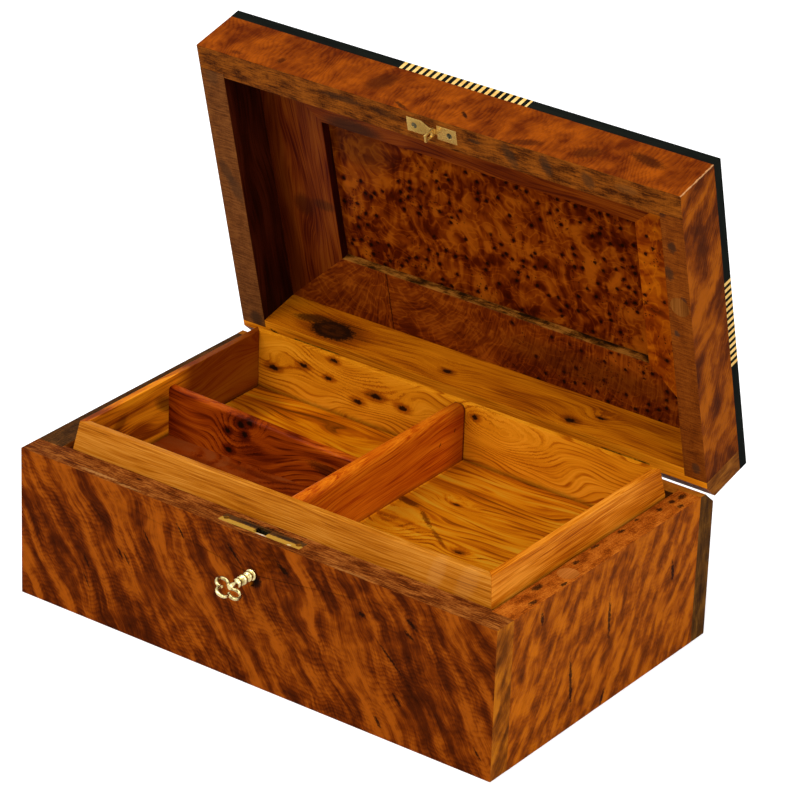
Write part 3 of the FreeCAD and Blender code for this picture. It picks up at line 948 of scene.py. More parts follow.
@dataclass(frozen=True)
class Metal:
    """Worn metal: rubbed clear in places, tarnished in others, with fine scratches."""

    CLOUD: ClassVar[Noise] = Noise((3.5, 3.5, 3.5), 4.0, 0.6)
    GRIT: ClassVar[Noise] = Noise((0.35, 0.35, 0.35))
    SCRATCH: ClassVar[Noise] = Noise((4.0, 0.16, 0.5))
    SCRATCH_WARP: ClassVar[Warp] = Warp(4.0, 1.0)
    SCRATCH_RELIEF: ClassVar[float] = 0.6
    GRIT_RELIEF: ClassVar[float] = 0.4
    SCRATCH_ROUGHNESS: ClassVar[float] = 0.12
    TARNISH_ROUGHNESS: ClassVar[float] = 0.25
    TARNISH_EDGE: ClassVar[tuple[float, float]] = (0.4, 0.7)
    GRIT_SHARE: ClassVar[float] = 0.2
    MARK_RAGS: ClassVar[Warp] = Warp(1.7, 0.5, 3.0)
    DEPTH: ClassVar[float] = 0.003 * MM

    name: str
    bright: Triple
    tarnish: Triple
    roughness: float = 0.2
    wear: float = 0.6
    on_lid: bool = False
    marks: tuple[Mark, ...] = ()
    metallic: float = 1.0

    def material(self) -> bpy.types.Material:
        """Makes the finish.

        Returns:
            The finished material.
        """
        graph = Graph(bpy.data.materials.new(self.name))
        at = Grain(X, Y, self.on_lid).place(graph)
        cloud = graph.blotches(at, self.CLOUD)
        grit = graph.blotches(at, self.GRIT)
        scratch = graph.blotches(graph.warp(at, self.SCRATCH_WARP), self.SCRATCH)
        worn = graph.smooth(cloud + (grit - MEAN) * self.GRIT_SHARE, *self.TARNISH_EDGE) * self.wear
        colour = graph.mix(worn, srgb(*self.bright), srgb(*self.tarnish))
        parts = [*graph.split(graph.warp(at, self.MARK_RAGS)), grit]
        roughness = self.roughness + worn * self.TARNISH_ROUGHNESS + (scratch - MEAN) * self.SCRATCH_ROUGHNESS
        relief = scratch * self.SCRATCH_RELIEF + grit * self.GRIT_RELIEF
        graph.close(graph.node("ShaderNodeBsdfPrincipled", None, {
            "Base Color": marked(graph, colour, self.marks, parts),
            "Metallic": self.metallic,
            "Roughness": roughness,
            "Normal": graph.bump(relief, self.DEPTH),
        }))
        return graph.owner


Look = Union[Wood, Metal]


class Colours:
    """Palettes of the object's woods and colours of its metals and stains, with painted shade, painted light
    and painted glints among them.
    """

    FRONT = Palette((74, 25, 2), (109, 43, 3), (146, 69, 8))
    SIDE = Palette((110, 47, 3), (146, 68, 4), (176, 91, 8))
    END_FRONT = Palette((110, 54, 6), (142, 74, 9), (172, 98, 14))
    END_BACK = Palette((46, 25, 5), (78, 45, 11), (112, 70, 20))
    END_LID = Palette((84, 42, 8), (112, 60, 14), (142, 84, 24))
    LID_FRONT = Palette((92, 32, 2), (121, 51, 4), (147, 67, 6))
    LID_SIDE = Palette((84, 33, 3), (119, 52, 3), (150, 75, 6))
    EYES = Palette((78, 21, 1), (118, 46, 3), (150, 72, 8))
    FRAME_LEFT = Palette((76, 20, 2), (106, 40, 3), (126, 58, 8))
    FRAME_LEFT_EDGE = Palette((34, 6, 2), (48, 9, 3), (62, 14, 4))
    FRAME_BACK = Palette((86, 26, 2), (120, 48, 3), (148, 70, 9))
    FRAME_BACK_EDGE = Palette((44, 22, 4), (100, 54, 12), (150, 92, 30))
    FRAME_RIGHT = Palette((130, 48, 2), (166, 76, 4), (190, 98, 6))
    LID_BACK = Palette((134, 60, 2), (171, 90, 3), (190, 108, 8))
    LID_LEFT = Palette((30, 5, 1), (46, 11, 2), (62, 20, 5))
    TRAY_BACK = Palette((166, 82, 3), (212, 128, 13), (236, 154, 32))
    FLOOR = Palette((208, 104, 3), (251, 148, 8), (255, 174, 34))
    TRAY_FRONT = Palette((158, 84, 6), (182, 107, 20), (198, 126, 40))
    TRAY_RIGHT = Palette((166, 78, 2), (202, 112, 14), (226, 140, 40))
    TRAY_LEFT = Palette((140, 58, 3), (206, 112, 9), (230, 140, 18))
    CROSS = Palette((166, 62, 3), (193, 91, 6), (211, 112, 14))
    LONG = Palette((96, 26, 1), (146, 54, 3), (180, 82, 8))
    RIM_FRONT = Palette((76, 30, 3), (112, 52, 10), (150, 86, 30))
    RIM_SIDE = Palette((118, 50, 4), (155, 74, 10), (180, 98, 24))
    RIM_BACK = Palette((120, 60, 8), (150, 84, 14), (172, 104, 28))
    RIM_LID_FRONT = Palette((62, 26, 3), (110, 55, 9), (140, 74, 14))
    # Painted light: the rim under the lid's back board is brighter than its inner face, to make up for the
    # shade that falls on it.
    RIM_LID_BACK_BRIGHTENED = Palette((170, 86, 4), (222, 128, 10), (240, 150, 24))
    RIM_LID_LEFT = Palette((85, 44, 15), (106, 58, 21), (124, 72, 29))
    RIM_LID_RIGHT = Palette((92, 40, 6), (115, 54, 8), (132, 67, 13))
    INNER = Palette((70, 34, 8), (104, 56, 14), (132, 78, 24))
    PLUG = Palette((142, 76, 20), (172, 97, 31), (190, 114, 46))
    PLUG_LID = Palette((98, 50, 12), (122, 68, 19), (142, 84, 30))
    # Painted shade: the base's left rim is darker than the right one because it lies in shade.
    RIM_LEFT_SHADED = Palette((42, 22, 7), (68, 40, 13), (98, 58, 22))
    BLACK = Palette((6, 8, 6), (11, 14, 10), (20, 23, 17))
    YELLOW = Palette((206, 156, 78), (232, 188, 104), (246, 208, 134))
    PLATE: Triple = (214, 176, 92)
    PLATE_TARNISH: Triple = (176, 134, 62)
    PLATE_SHADE: Triple = (164, 130, 54)
    BRASS: Triple = (232, 212, 150)
    BRASS_TARNISH: Triple = (150, 118, 52)
    KEY_TARNISH: Triple = (112, 94, 42)
    STRIP: Triple = (206, 164, 58)
    # Painted shade over the back of the brass strip.
    STRIP_GAP_SHADE: Triple = (66, 32, 10)
    OLIVE: Triple = (176, 138, 48)
    OLIVE_TARNISH: Triple = (84, 60, 16)
    STEEL: Triple = (122, 112, 80)
    STEEL_TARNISH: Triple = (50, 48, 38)
    GLINT: Triple = (255, 248, 222)
    WARM_GLINT: Triple = (255, 236, 170)
    # Painted shadow in the gap behind the brass strip.
    GAP_SHADOW_BLACK: Triple = (9, 5, 2)
    # Painted shade where the tray's floor meets its walls.
    SHADE_BROWN: Triple = (70, 26, 2)
    # Darkening for the front-left part of the lid's panel.
    PANEL_DARK: Triple = (44, 24, 8)


@dataclass
class Dresser:
    """Puts finishes on the faces of CAD nodes."""

    FACING: ClassVar[float] = 0.9
    ARRIS_SEGMENTS: ClassVar[int] = 2
    ARRIS_ANGLE: ClassVar[float] = math.radians(35)

    made: dict[str, bpy.types.Material] = field(default_factory=dict)

    def finish(self, look: Look) -> bpy.types.Material:
        """The material of a finish, made once.

        Args:
            look: The finish.

        Returns:
            Its material.
        """
        if look.name not in self.made:
            self.made[look.name] = look.material()
        return self.made[look.name]

    def dress(self, node: str, plain: Look, faces: Optional[Mapping[Side, Look]] = None,
              on_lid: bool = False, arris: float = 0.0) -> None:
        """Gives a node its finishes.

        Args:
            node: The CAD node.
            plain: Finish of every face that is not named.
            faces: Finishes of the faces that look a certain way on the closed box.
            on_lid: Whether the node turns with the lid.
            arris: Width of the worn edge in metres, or 0 for none.
        """
        thing = frame["nodes"][node]
        thing.data.materials.clear()
        thing.data.materials.append(self.finish(plain))
        turn = HINGE.closing().to_3x3() if on_lid else Matrix.Identity(3)
        for number, (side, look) in enumerate((faces or {}).items(), start=1):
            thing.data.materials.append(self.finish(look))
            way = Vector(side.value)
            for polygon in thing.data.polygons:
                if (turn @ polygon.normal).dot(way) > self.FACING:
                    polygon.material_index = number
        if arris > 0:
            self.wear(thing, arris)
        LOG.info("dressed %s", node)

    def wear(self, thing: bpy.types.Object, arris: float) -> None:
        """Rounds the edges of a node a little.

        Args:
            thing: The node's object.
            arris: Width of the worn edge in metres.
        """
        weld = thing.modifiers.new("weld", "WELD")
        weld.merge_threshold = WELD_DISTANCE
        bevel = thing.modifiers.new("arris", "BEVEL")
        bevel.width = arris
        bevel.segments = self.ARRIS_SEGMENTS
        bevel.profile = 0.5
        bevel.limit_method = "ANGLE"
        bevel.angle_limit = self.ARRIS_ANGLE
        bevel.use_clamp_overlap = True


class ScrewSize(NamedTuple):
    """Radii of a screw's head and shank, the depth of its head's cone and its length, in millimetres."""

    head: float
    shank: float
    cone: float
    length: float = 8.0


class Mould:
    """Collects the faces of one finished piece, in millimetres."""

    TOUCHING: ClassVar[float] = 0.0001
    LATHE_STEPS: ClassVar[int] = 48
    WIRE_SIDES: ClassVar[int] = 16
    HOOP_STEPS: ClassVar[int] = 44
    BALL_RINGS: ClassVar[int] = 10
    EDGE_SEGMENTS: ClassVar[int] = 2
    SCREW_SIDES: ClassVar[int] = 28
    SLOT_SHARE: ClassVar[float] = 0.16
    SLOT_DEPTH_SHARE: ClassVar[float] = 0.4
    SMOOTH_ANGLE: ClassVar[float] = math.radians(42)

    def __init__(self) -> None:
        """Starts empty."""
        self.mesh = bmesh.new()

    def lathe(self, profile: Sequence[tuple[float, float]]) -> None:
        """Turns a profile about the Y axis.

        Args:
            profile: Places on the axis and radii, from one point on the axis to another.
        """
        corners = [self.mesh.verts.new((radius, place, 0.0)) for place, radius in profile]
        edges = [self.mesh.edges.new(pair) for pair in zip(corners, corners[1:])]
        bmesh.ops.spin(self.mesh, geom=corners + edges, cent=ORIGIN, axis=Y, dvec=ORIGIN, angle=2 * math.pi,
                       steps=self.LATHE_STEPS, use_merge=True, use_duplicate=False)
        bmesh.ops.remove_doubles(self.mesh, verts=self.mesh.verts, dist=self.TOUCHING)

    def hoop(self, place: Matrix, radius: float, wire: float, half_turn: float) -> None:
        """Bends a round wire with ball ends to an open hoop.

        Args:
            place: Where it goes; the hoop lies in the XY plane round the origin, and its middle is on +X.
            radius: Radius of the wire's middle line.
            wire: Radius of the wire.
            half_turn: Half the angle that the hoop spans, in degrees.
        """
        made = bmesh.new()
        across = Matrix.Translation((radius, 0, 0))
        half = math.radians(half_turn)
        start, end = (Matrix.Rotation(angle, 4, "Z") @ across for angle in (-half, half))
        section = start @ Matrix.Rotation(math.pi / 2, 4, "X")
        bmesh.ops.create_circle(made, cap_ends=True, segments=self.WIRE_SIDES, radius=wire, matrix=section)
        disc = made.verts[:] + made.edges[:] + made.faces[:]
        bmesh.ops.spin(made, geom=disc, cent=ORIGIN, axis=Z, dvec=ORIGIN, angle=2 * half,
                       steps=self.HOOP_STEPS, use_merge=False, use_duplicate=False)
        for ball in (start, end):
            bmesh.ops.create_uvsphere(made, u_segments=self.WIRE_SIDES, v_segments=self.BALL_RINGS,
                                      radius=wire, matrix=ball)
        self.take(made, place)

    def block(self, low: Triple, high: Triple, edge: float) -> None:
        """Adds a box with rounded edges.

        Args:
            low: Its lowest corner.
            high: Its highest corner.
            edge: Width of the rounding.
        """
        made = bmesh.new()
        bmesh.ops.create_cube(made, size=1.0)
        middle = (Vector(low) + Vector(high)) / 2
        size = Matrix.Diagonal(Vector(high) - Vector(low)).to_4x4()
        bmesh.ops.transform(made, matrix=Matrix.Translation(middle) @ size, verts=made.verts)
        bmesh.ops.bevel(made, geom=made.edges[:], offset=edge, offset_type="OFFSET", affect="EDGES",
                        segments=self.EDGE_SEGMENTS, profile=0.5, material=-1)
        self.take(made, Matrix.Identity(4))

    def screw(self, place: Matrix, size: ScrewSize) -> None:
        """Adds a slotted countersunk screw.

        Args:
            place: Where it goes; the head's top is at the origin and the point along +Z.
            size: Its sizes.
        """
        made = bmesh.new()
        bmesh.ops.create_circle(made, cap_ends=True, segments=self.SCREW_SIDES, radius=size.head)
        half = size.head * self.SLOT_SHARE
        for cut in (-half, half):
            disc = made.verts[:] + made.edges[:] + made.faces[:]
            bmesh.ops.bisect_plane(made, geom=disc, plane_co=(cut, 0, 0), plane_no=X, dist=self.TOUCHING)
        slot = [face for face in made.faces if abs(face.calc_center_median().x) < half / 2]
        rim = [edge for edge in made.edges if edge.is_boundary]
        for depth in (size.cone, size.length):
            grown = bmesh.ops.extrude_edge_only(made, edges=rim)["geom"]
            rim = [item for item in grown if isinstance(item, bmesh.types.BMEdge) and item.is_boundary]
            for corner in {corner for edge in rim for corner in edge.verts}:
                flat = Vector((corner.co.x, corner.co.y, 0)).normalized() * size.shank
                corner.co = (flat.x, flat.y, depth)
        bmesh.ops.contextual_create(made, geom=rim)
        sunk = bmesh.ops.extrude_face_region(made, geom=slot)["geom"]
        bmesh.ops.delete(made, geom=slot, context="FACES_ONLY")
        corners = [item for item in sunk if isinstance(item, bmesh.types.BMVert)]
        bmesh.ops.translate(made, verts=corners, vec=(0, 0, self.SLOT_DEPTH_SHARE * size.cone))
        self.take(made, place)

    def take(self, made: bmesh.types.BMesh, place: Matrix) -> None:
        """Moves a shape to its place and adds it.

        Args:
            made: The shape, which is used up.
            place: Its place.
        """
        bmesh.ops.transform(made, matrix=place, verts=made.verts)
        passing = bpy.data.meshes.new("passing")
        made.to_mesh(passing)
        made.free()
        self.mesh.from_mesh(passing)
        bpy.data.meshes.remove(passing)

    def piece(self, name: str, material: bpy.types.Material, body: str, nodes: Sequence[str],
              place: Optional[Matrix] = None) -> None:
        """Turns the faces into a finished piece.

        Args:
            name: Name of the piece.
            material: Its material.
            body: Body that it rides on.
            nodes: CAD nodes that it stands in for.
            place: Its place in millimetres.
        """
        whole = Matrix.Scale(MM, 4) @ (place or Matrix.Identity(4))
        bmesh.ops.transform(self.mesh, matrix=whole, verts=self.mesh.verts)
        bmesh.ops.recalc_face_normals(self.mesh, faces=self.mesh.faces)
        data = bpy.data.meshes.new(name)
        self.mesh.to_mesh(data)
        self.mesh.free()
        data.shade_smooth()
        data.set_sharp_from_angle(angle=self.SMOOTH_ANGLE)
        data.materials.append(material)
        thing = bpy.data.objects.new(name, data)
        bpy.context.scene.collection.objects.link(thing)
        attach(thing, body)
        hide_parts(*nodes)
        LOG.info("made %s", name)


@dataclass(frozen=True)
class ScrewGroup:
    """Slotted screws that stand in for one CAD node, placed on the closed box in millimetres.

    Turns gives the turn of each screw's slot in degrees, by the screw's place to the right.
    """

    HINGE_XS: ClassVar[tuple[float, ...]] = (-109.5, -90.5, 90.5, 109.5)
    HINGE_Y: ClassVar[float] = 85.55
    LOCK_Y: ClassVar[float] = -88.2
    BASE_HEAD_Z: ClassVar[float] = 84.48
    LID_HEAD_Z: ClassVar[float] = 84.82
    HINGE_SIZE: ClassVar[ScrewSize] = ScrewSize(1.22, 0.64, 1.0)

    node: str
    body: str
    slot: str
    size: ScrewSize
    y: float
    head_z: float
    point_up: bool
    turns: Mapping[float, float]

    def build(self, material: bpy.types.Material, place: Optional[Matrix] = None) -> None:
        """Makes the screws.

        Args:
            material: Their material.
            place: Turn from the closed box to the rest pose, in millimetres, where they ride on the lid.
        """
        screws = Mould()
        flip = Matrix.Rotation(0.0 if self.point_up else math.pi, 4, "X")
        for x, turn in self.turns.items():
            slot = Matrix.Rotation(math.radians(turn), 4, "Z")
            screws.screw(Matrix.Translation((x, self.y, self.head_z)) @ flip @ slot, self.size)
        screws.piece(self.node + "_slotted", material, self.body, [self.node], place)


@dataclass
class Key:
    """The brass pipe key, turned about its own axis before it goes to the lock; all in millimetres.

    Beads are given by start and end in front of the lock and by least and largest radius, the neck by place
    and radius.
    """

    BEAD_STEPS: ClassVar[int] = 9
    BEAD_POWER: ClassVar[float] = 0.75

    dresser: Dresser
    axis: Triple = (1.4, 0.0, 63.5)
    turn: float = 27.0
    front: float = -96.3
    inner_end: float = -85.8
    bore_end: float = -91.8
    bore: float = 1.0
    shank: float = 2.0
    chamfer: float = 0.25
    beads: tuple[tuple[float, float, float, float], ...] = (
        (0.0, 1.7, 2.6, 3.3), (1.9, 4.4, 2.0, 2.9), (4.6, 5.5, 1.9, 2.4), (5.7, 8.6, 1.9, 2.9),
        (8.8, 9.9, 1.9, 2.6), (10.1, 12.6, 1.9, 2.6))
    neck: tuple[tuple[float, float], ...] = ((14.0, 1.7), (17.2, 1.8), (17.9, 1.3), (18.1, 0.0))
    bow_middle: float = -115.0
    bow_open: float = 1.6
    lobe_spread: float = 4.2
    lobe_forward: float = 4.4
    lobe_middle: float = 3.2
    lobe_half_turn: float = 124.0
    wire: float = 0.95
    bit_low: Triple = (-6.5, -89.1, -1.05)
    bit_high: Triple = (-1.5, -85.9, 1.05)
    bit_edge: float = 0.2

    def stem(self) -> list[tuple[float, float]]:
        """Profile of the pipe, the turned collar and the neck.

        Returns:
            Places on the axis and radii.
        """
        profile = [(self.bore_end, 0.0), (self.bore_end, self.bore), (self.inner_end, self.bore),
                   (self.inner_end, self.shank - self.chamfer), (self.inner_end - self.chamfer, self.shank),
                   (self.front, self.shank)]
        for start, end, low, high in self.beads:
            for step in range(self.BEAD_STEPS + 1):
                share = step / self.BEAD_STEPS
                swell = math.sin(math.pi * share) ** self.BEAD_POWER
                profile.append((self.front - start - (end - start) * share, low + (high - low) * swell))
        return profile + [(self.front - place, radius) for place, radius in self.neck]

    def lobe(self, x: float, y: float) -> Matrix:
        """Place of one lobe's hoop, which is open towards the middle of the bow."""
        heading = math.atan2(y - self.bow_middle + self.bow_open, x)
        return Matrix.Translation((x, y, 0.0)) @ Matrix.Rotation(heading, 4, "Z")

    def build(self) -> None:
        """Makes the key in place of its CAD node."""
        mould = Mould()
        mould.lathe(self.stem())
        for x, y in ((-self.lobe_spread, self.bow_middle), (self.lobe_spread, self.bow_middle),
                     (0.0, self.bow_middle - self.lobe_forward)):
            mould.hoop(self.lobe(x, y), self.lobe_middle, self.wire, self.lobe_half_turn)
        mould.block(self.bit_low, self.bit_high, self.bit_edge)
        brass = self.dresser.finish(Metal("brass_key", Colours.BRASS, Colours.KEY_TARNISH, 0.14, 0.8))
        place = Matrix.Translation(self.axis) @ Matrix.Rotation(math.radians(self.turn), 4, "Y")
        mould.piece("key_turned", brass, "key", ["key"], place)


@dataclass
class Base:
    """The box below the rim; marks are placed in millimetres."""

    dresser: Dresser
    arris: float = 0.35 * MM
    rim_depth: float = 0.15 * MM
    front_rim_depth: float = 0.2 * MM
    front_slits: tuple[Spot, ...] = (
        Spot(-44.5, 71.7, 5, 0.8, -55), Spot(-66.4, 60.7, 5, 0.7, -58), Spot(-83.7, 45.7, 4, 0.8, -58),
        Spot(-79.7, 44.2, 4, 0.7, -58), Spot(-105.8, 33.3, 5, 0.7, -62), Spot(-106.4, 22.9, 5, 0.6, -62),
        Spot(-10.4, 71.0, 8, 1.0, -45), Spot(20.5, 72.8, 6, 1.6, -35), Spot(87.5, 46.5, 11, 0.8, -42),
        Spot(69.8, 64.8, 2.5, 1.4, -20), Spot(98.5, 63.1, 4, 1.2, -35), Spot(99.4, 70.2, 5, 1.2, -35),
        Spot(81.3, 8.2, 4, 1.2, -50), Spot(92.6, 24.7, 5, 1.0, -50), Spot(141.3, 13.0, 4, 0.8, -50),
        Spot(3.4, 60.6, 4.6, 4.2, -40, share=0.95))
    side_slits: tuple[Spot, ...] = (
        Spot(-28.9, 26.3, 16, 1.5, -85), Spot(3.4, 48.8, 14, 1.4, -88), Spot(-57.4, 74.7, 4.5, 1.6, -80),
        Spot(60.7, 51.8, 7, 1.5, -84), Spot(0.6, 4.0, 6, 1.2, 70))
    rim_specks: tuple[Spot, ...] = (
        Spot(-48, 140, 5, 2.2), Spot(-62, 147, 4, 1.6), Spot(-37, 148, 3, 1.4), Spot(5, 138, 4, 1.2),
        Spot(-15, 140, 3, 1.4), Spot(27, 139, 3, 1.6), Spot(42, 138, 2, 1.2), Spot(59, 141, 2.5, 1.6),
        Spot(70, 141, 2.5, 1.8), Spot(69, 147, 2.5, 1.6), Spot(78, 142, 4, 2.0))
    mortise_gap: tuple[Spot, ...] = (
        Spot(-9, -84.3, 9, 0.9, -3, share=0.95), Spot(7, -84.4, 9, 1.2, -2, share=0.95),
        Spot(19, -85, 6, 1.3, 4), Spot(-14, -85.0, 4, 0.8), Spot(-81, -84.3, 2, 0.7),
        Spot(-18, -91.5, 7, 1.0, 0, (178, 122, 60), 0.6), Spot(-101, -93, 14, 1.2, 0, (186, 128, 66), 0.6),
        Spot(-80, -94.5, 9, 0.9, 0, (176, 120, 60), 0.6), Spot(60, -94.8, 16, 0.8, 0, (170, 112, 52), 0.5))
    # Painted shade over the back of the brass strip, two darker painted shadows in it, and two painted glints
    # on its front part.
    strip_shade_and_glints: tuple[Mark, ...] = (
        Band(Axis.ACROSS, -88.9, -88.2, Colours.STRIP_GAP_SHADE, 0.94),
        Spot(-7, -86.6, 10, 1.1, 0, Colours.GAP_SHADOW_BLACK, 0.95), Spot(15, -86.8, 9, 1.2, 0, Colours.GAP_SHADOW_BLACK, 0.95),
        Spot(3.2, -91.7, 3.4, 0.8, 0, Colours.GLINT, 0.95),
        Spot(20.2, -91.2, 1.2, 0.8, 0, Colours.WARM_GLINT, 0.95))
    lock_screws: ScrewGroup = ScrewGroup(
        "lock_screws", "base", "brass", ScrewSize(1.68, 0.84, 1.2), ScrewGroup.LOCK_Y, ScrewGroup.BASE_HEAD_Z,
        False, {-21.4: 65, 24.2: 65})
    hinge_screws: ScrewGroup = ScrewGroup(
        "hinge_screws_base", "base", "brass", ScrewGroup.HINGE_SIZE, ScrewGroup.HINGE_Y,
        ScrewGroup.BASE_HEAD_Z, False, {x: 3 * x for x in ScrewGroup.HINGE_XS})

    def dress(self) -> None:
        """Finishes every node of the base."""
        self.dress_long_boards()
        self.dress_sides()
        self.dress_inside()
        self.dress_fittings()

    def dress_long_boards(self) -> None:
        """The front and back of the box."""
        front = FlameBurl("burl_front", Grain(X, Z, shift=(31, 7, 0)), Colours.FRONT, Gloss.LACQUER,
                          self.front_slits)
        back = replace(front, name="burl_back", grain=Grain(X, Z, shift=(231, 57, 40)), marks=(), lean=58)
        rim_front = SawnRim("rim_front", Grain(X, Y), Colours.RIM_FRONT, Gloss.DULL, self.mortise_gap,
                            self.front_rim_depth, streaks=1.2, cross=0.12, smudges=0.8)
        rim_back = SawnRim("rim_back", Grain(X, Y, shift=(60, 0, 0)), Colours.RIM_BACK, Gloss.DULL,
                           depth=self.rim_depth)
        end_front = FlameBurl("end_front", Grain(Z, Y, shift=(50, 90, 0)), Colours.END_FRONT, Gloss.LACQUER,
                              lean=32, width=7.0, length=18.0, bend=5.0, streaks=0.5, rings=0.05)
        end_back = SawnRim("end_back", Grain(Z, Y, shift=(30, 10, 0)), Colours.END_BACK, Gloss.LACQUER,
                           streaks=0.5, cross=0.1, smudges=0.7, grit=0.1)
        inner = PlainGrain("inner_long", Grain(X, Z), Colours.INNER, Gloss.SATIN)
        front_faces = {Side.FRONT: front, Side.TOP: rim_front, Side.LEFT: end_front, Side.RIGHT: end_front}
        back_faces = {Side.BACK: back, Side.TOP: rim_back, Side.LEFT: end_back, Side.RIGHT: end_back}
        self.dresser.dress("front_board", inner, front_faces, arris=self.arris)
        self.dresser.dress("back_board", inner, back_faces, arris=self.arris)

    def dress_sides(self) -> None:
        """The left and right of the box."""
        right = FlameBurl("burl_right", Grain(Y, Z, shift=(410, 20, 9)), Colours.SIDE, Gloss.LACQUER,
                          self.side_slits, lean=62, width=6.5, length=18.0, bend=7.0, streaks=0.45,
                          rings=0.05, ring_lean=80, mottle=0.6)
        left = replace(right, name="burl_left", grain=Grain(Y, Z, shift=(610, 31, 70)), marks=(), lean=-62)
        # Painted shade: the left rim takes a darker palette than the right one.
        rim_left = SawnRim("rim_left", Grain(Y, X, shift=(7, 0, 0)), Colours.RIM_LEFT_SHADED, Gloss.DULL,
                           depth=self.rim_depth)
        rim_right = SawnRim("rim_side", Grain(Y, X, shift=(77, 0, 0)), Colours.RIM_SIDE, Gloss.DULL,
                            self.rim_specks, self.rim_depth, smudges=0.9, grit=0.7)
        inner = PlainGrain("inner_side", Grain(Y, Z), Colours.INNER, Gloss.SATIN)
        self.dresser.dress("left_side", inner, {Side.LEFT: left, Side.TOP: rim_left}, arris=self.arris)
        self.dresser.dress("right_side", inner, {Side.RIGHT: right, Side.TOP: rim_right}, arris=self.arris)

    def dress_inside(self) -> None:
        """The bottom, the tray's cleats and the plug in the rim."""
        bottom = PlainGrain("bottom", Grain(X, Y), Colours.INNER, Gloss.SATIN)
        cleat = PlainGrain("cleat", Grain(Y, Z), Colours.INNER, Gloss.SATIN)
        plug = PlainGrain("plug_base", Grain(Y, X), Colours.PLUG, Gloss.DULL, spacing=1.6, lines=0.1)
        self.dresser.dress("bottom_panel", bottom, arris=self.arris)
        for node in ("tray_cleat_left", "tray_cleat_right"):
            self.dresser.dress(node, cleat, arris=self.arris)
        self.dresser.dress("rim_plug_base", plug)

    def dress_fittings(self) -> None:
        """The lock, the lower hinge leaves and their screws."""
        brass = Metal("brass", Colours.BRASS, Colours.BRASS_TARNISH)
        olive = Metal("brass_olive", Colours.OLIVE, Colours.OLIVE_TARNISH, 0.32, 0.9)
        steel = Metal("steel", Colours.STEEL, Colours.STEEL_TARNISH, 0.35)
        strip = Metal("brass_strip", Colours.STRIP, Colours.OLIVE, 0.4, marks=self.strip_shade_and_glints, metallic=0.6)
        looks = {
            "lock_selvedge": strip, "lock_bolt": brass, "hinge_leaf_base_left": olive,
            "hinge_leaf_base_right": olive, "lock_case": steel, "lock_cover": steel, "lock_pin": steel,
            "hinge_pin_left": steel, "hinge_pin_right": steel}
        for node, look in looks.items():
            self.dresser.dress(node, look)
        for screws in (self.lock_screws, self.hinge_screws):
            screws.build(self.dresser.finish(olive))


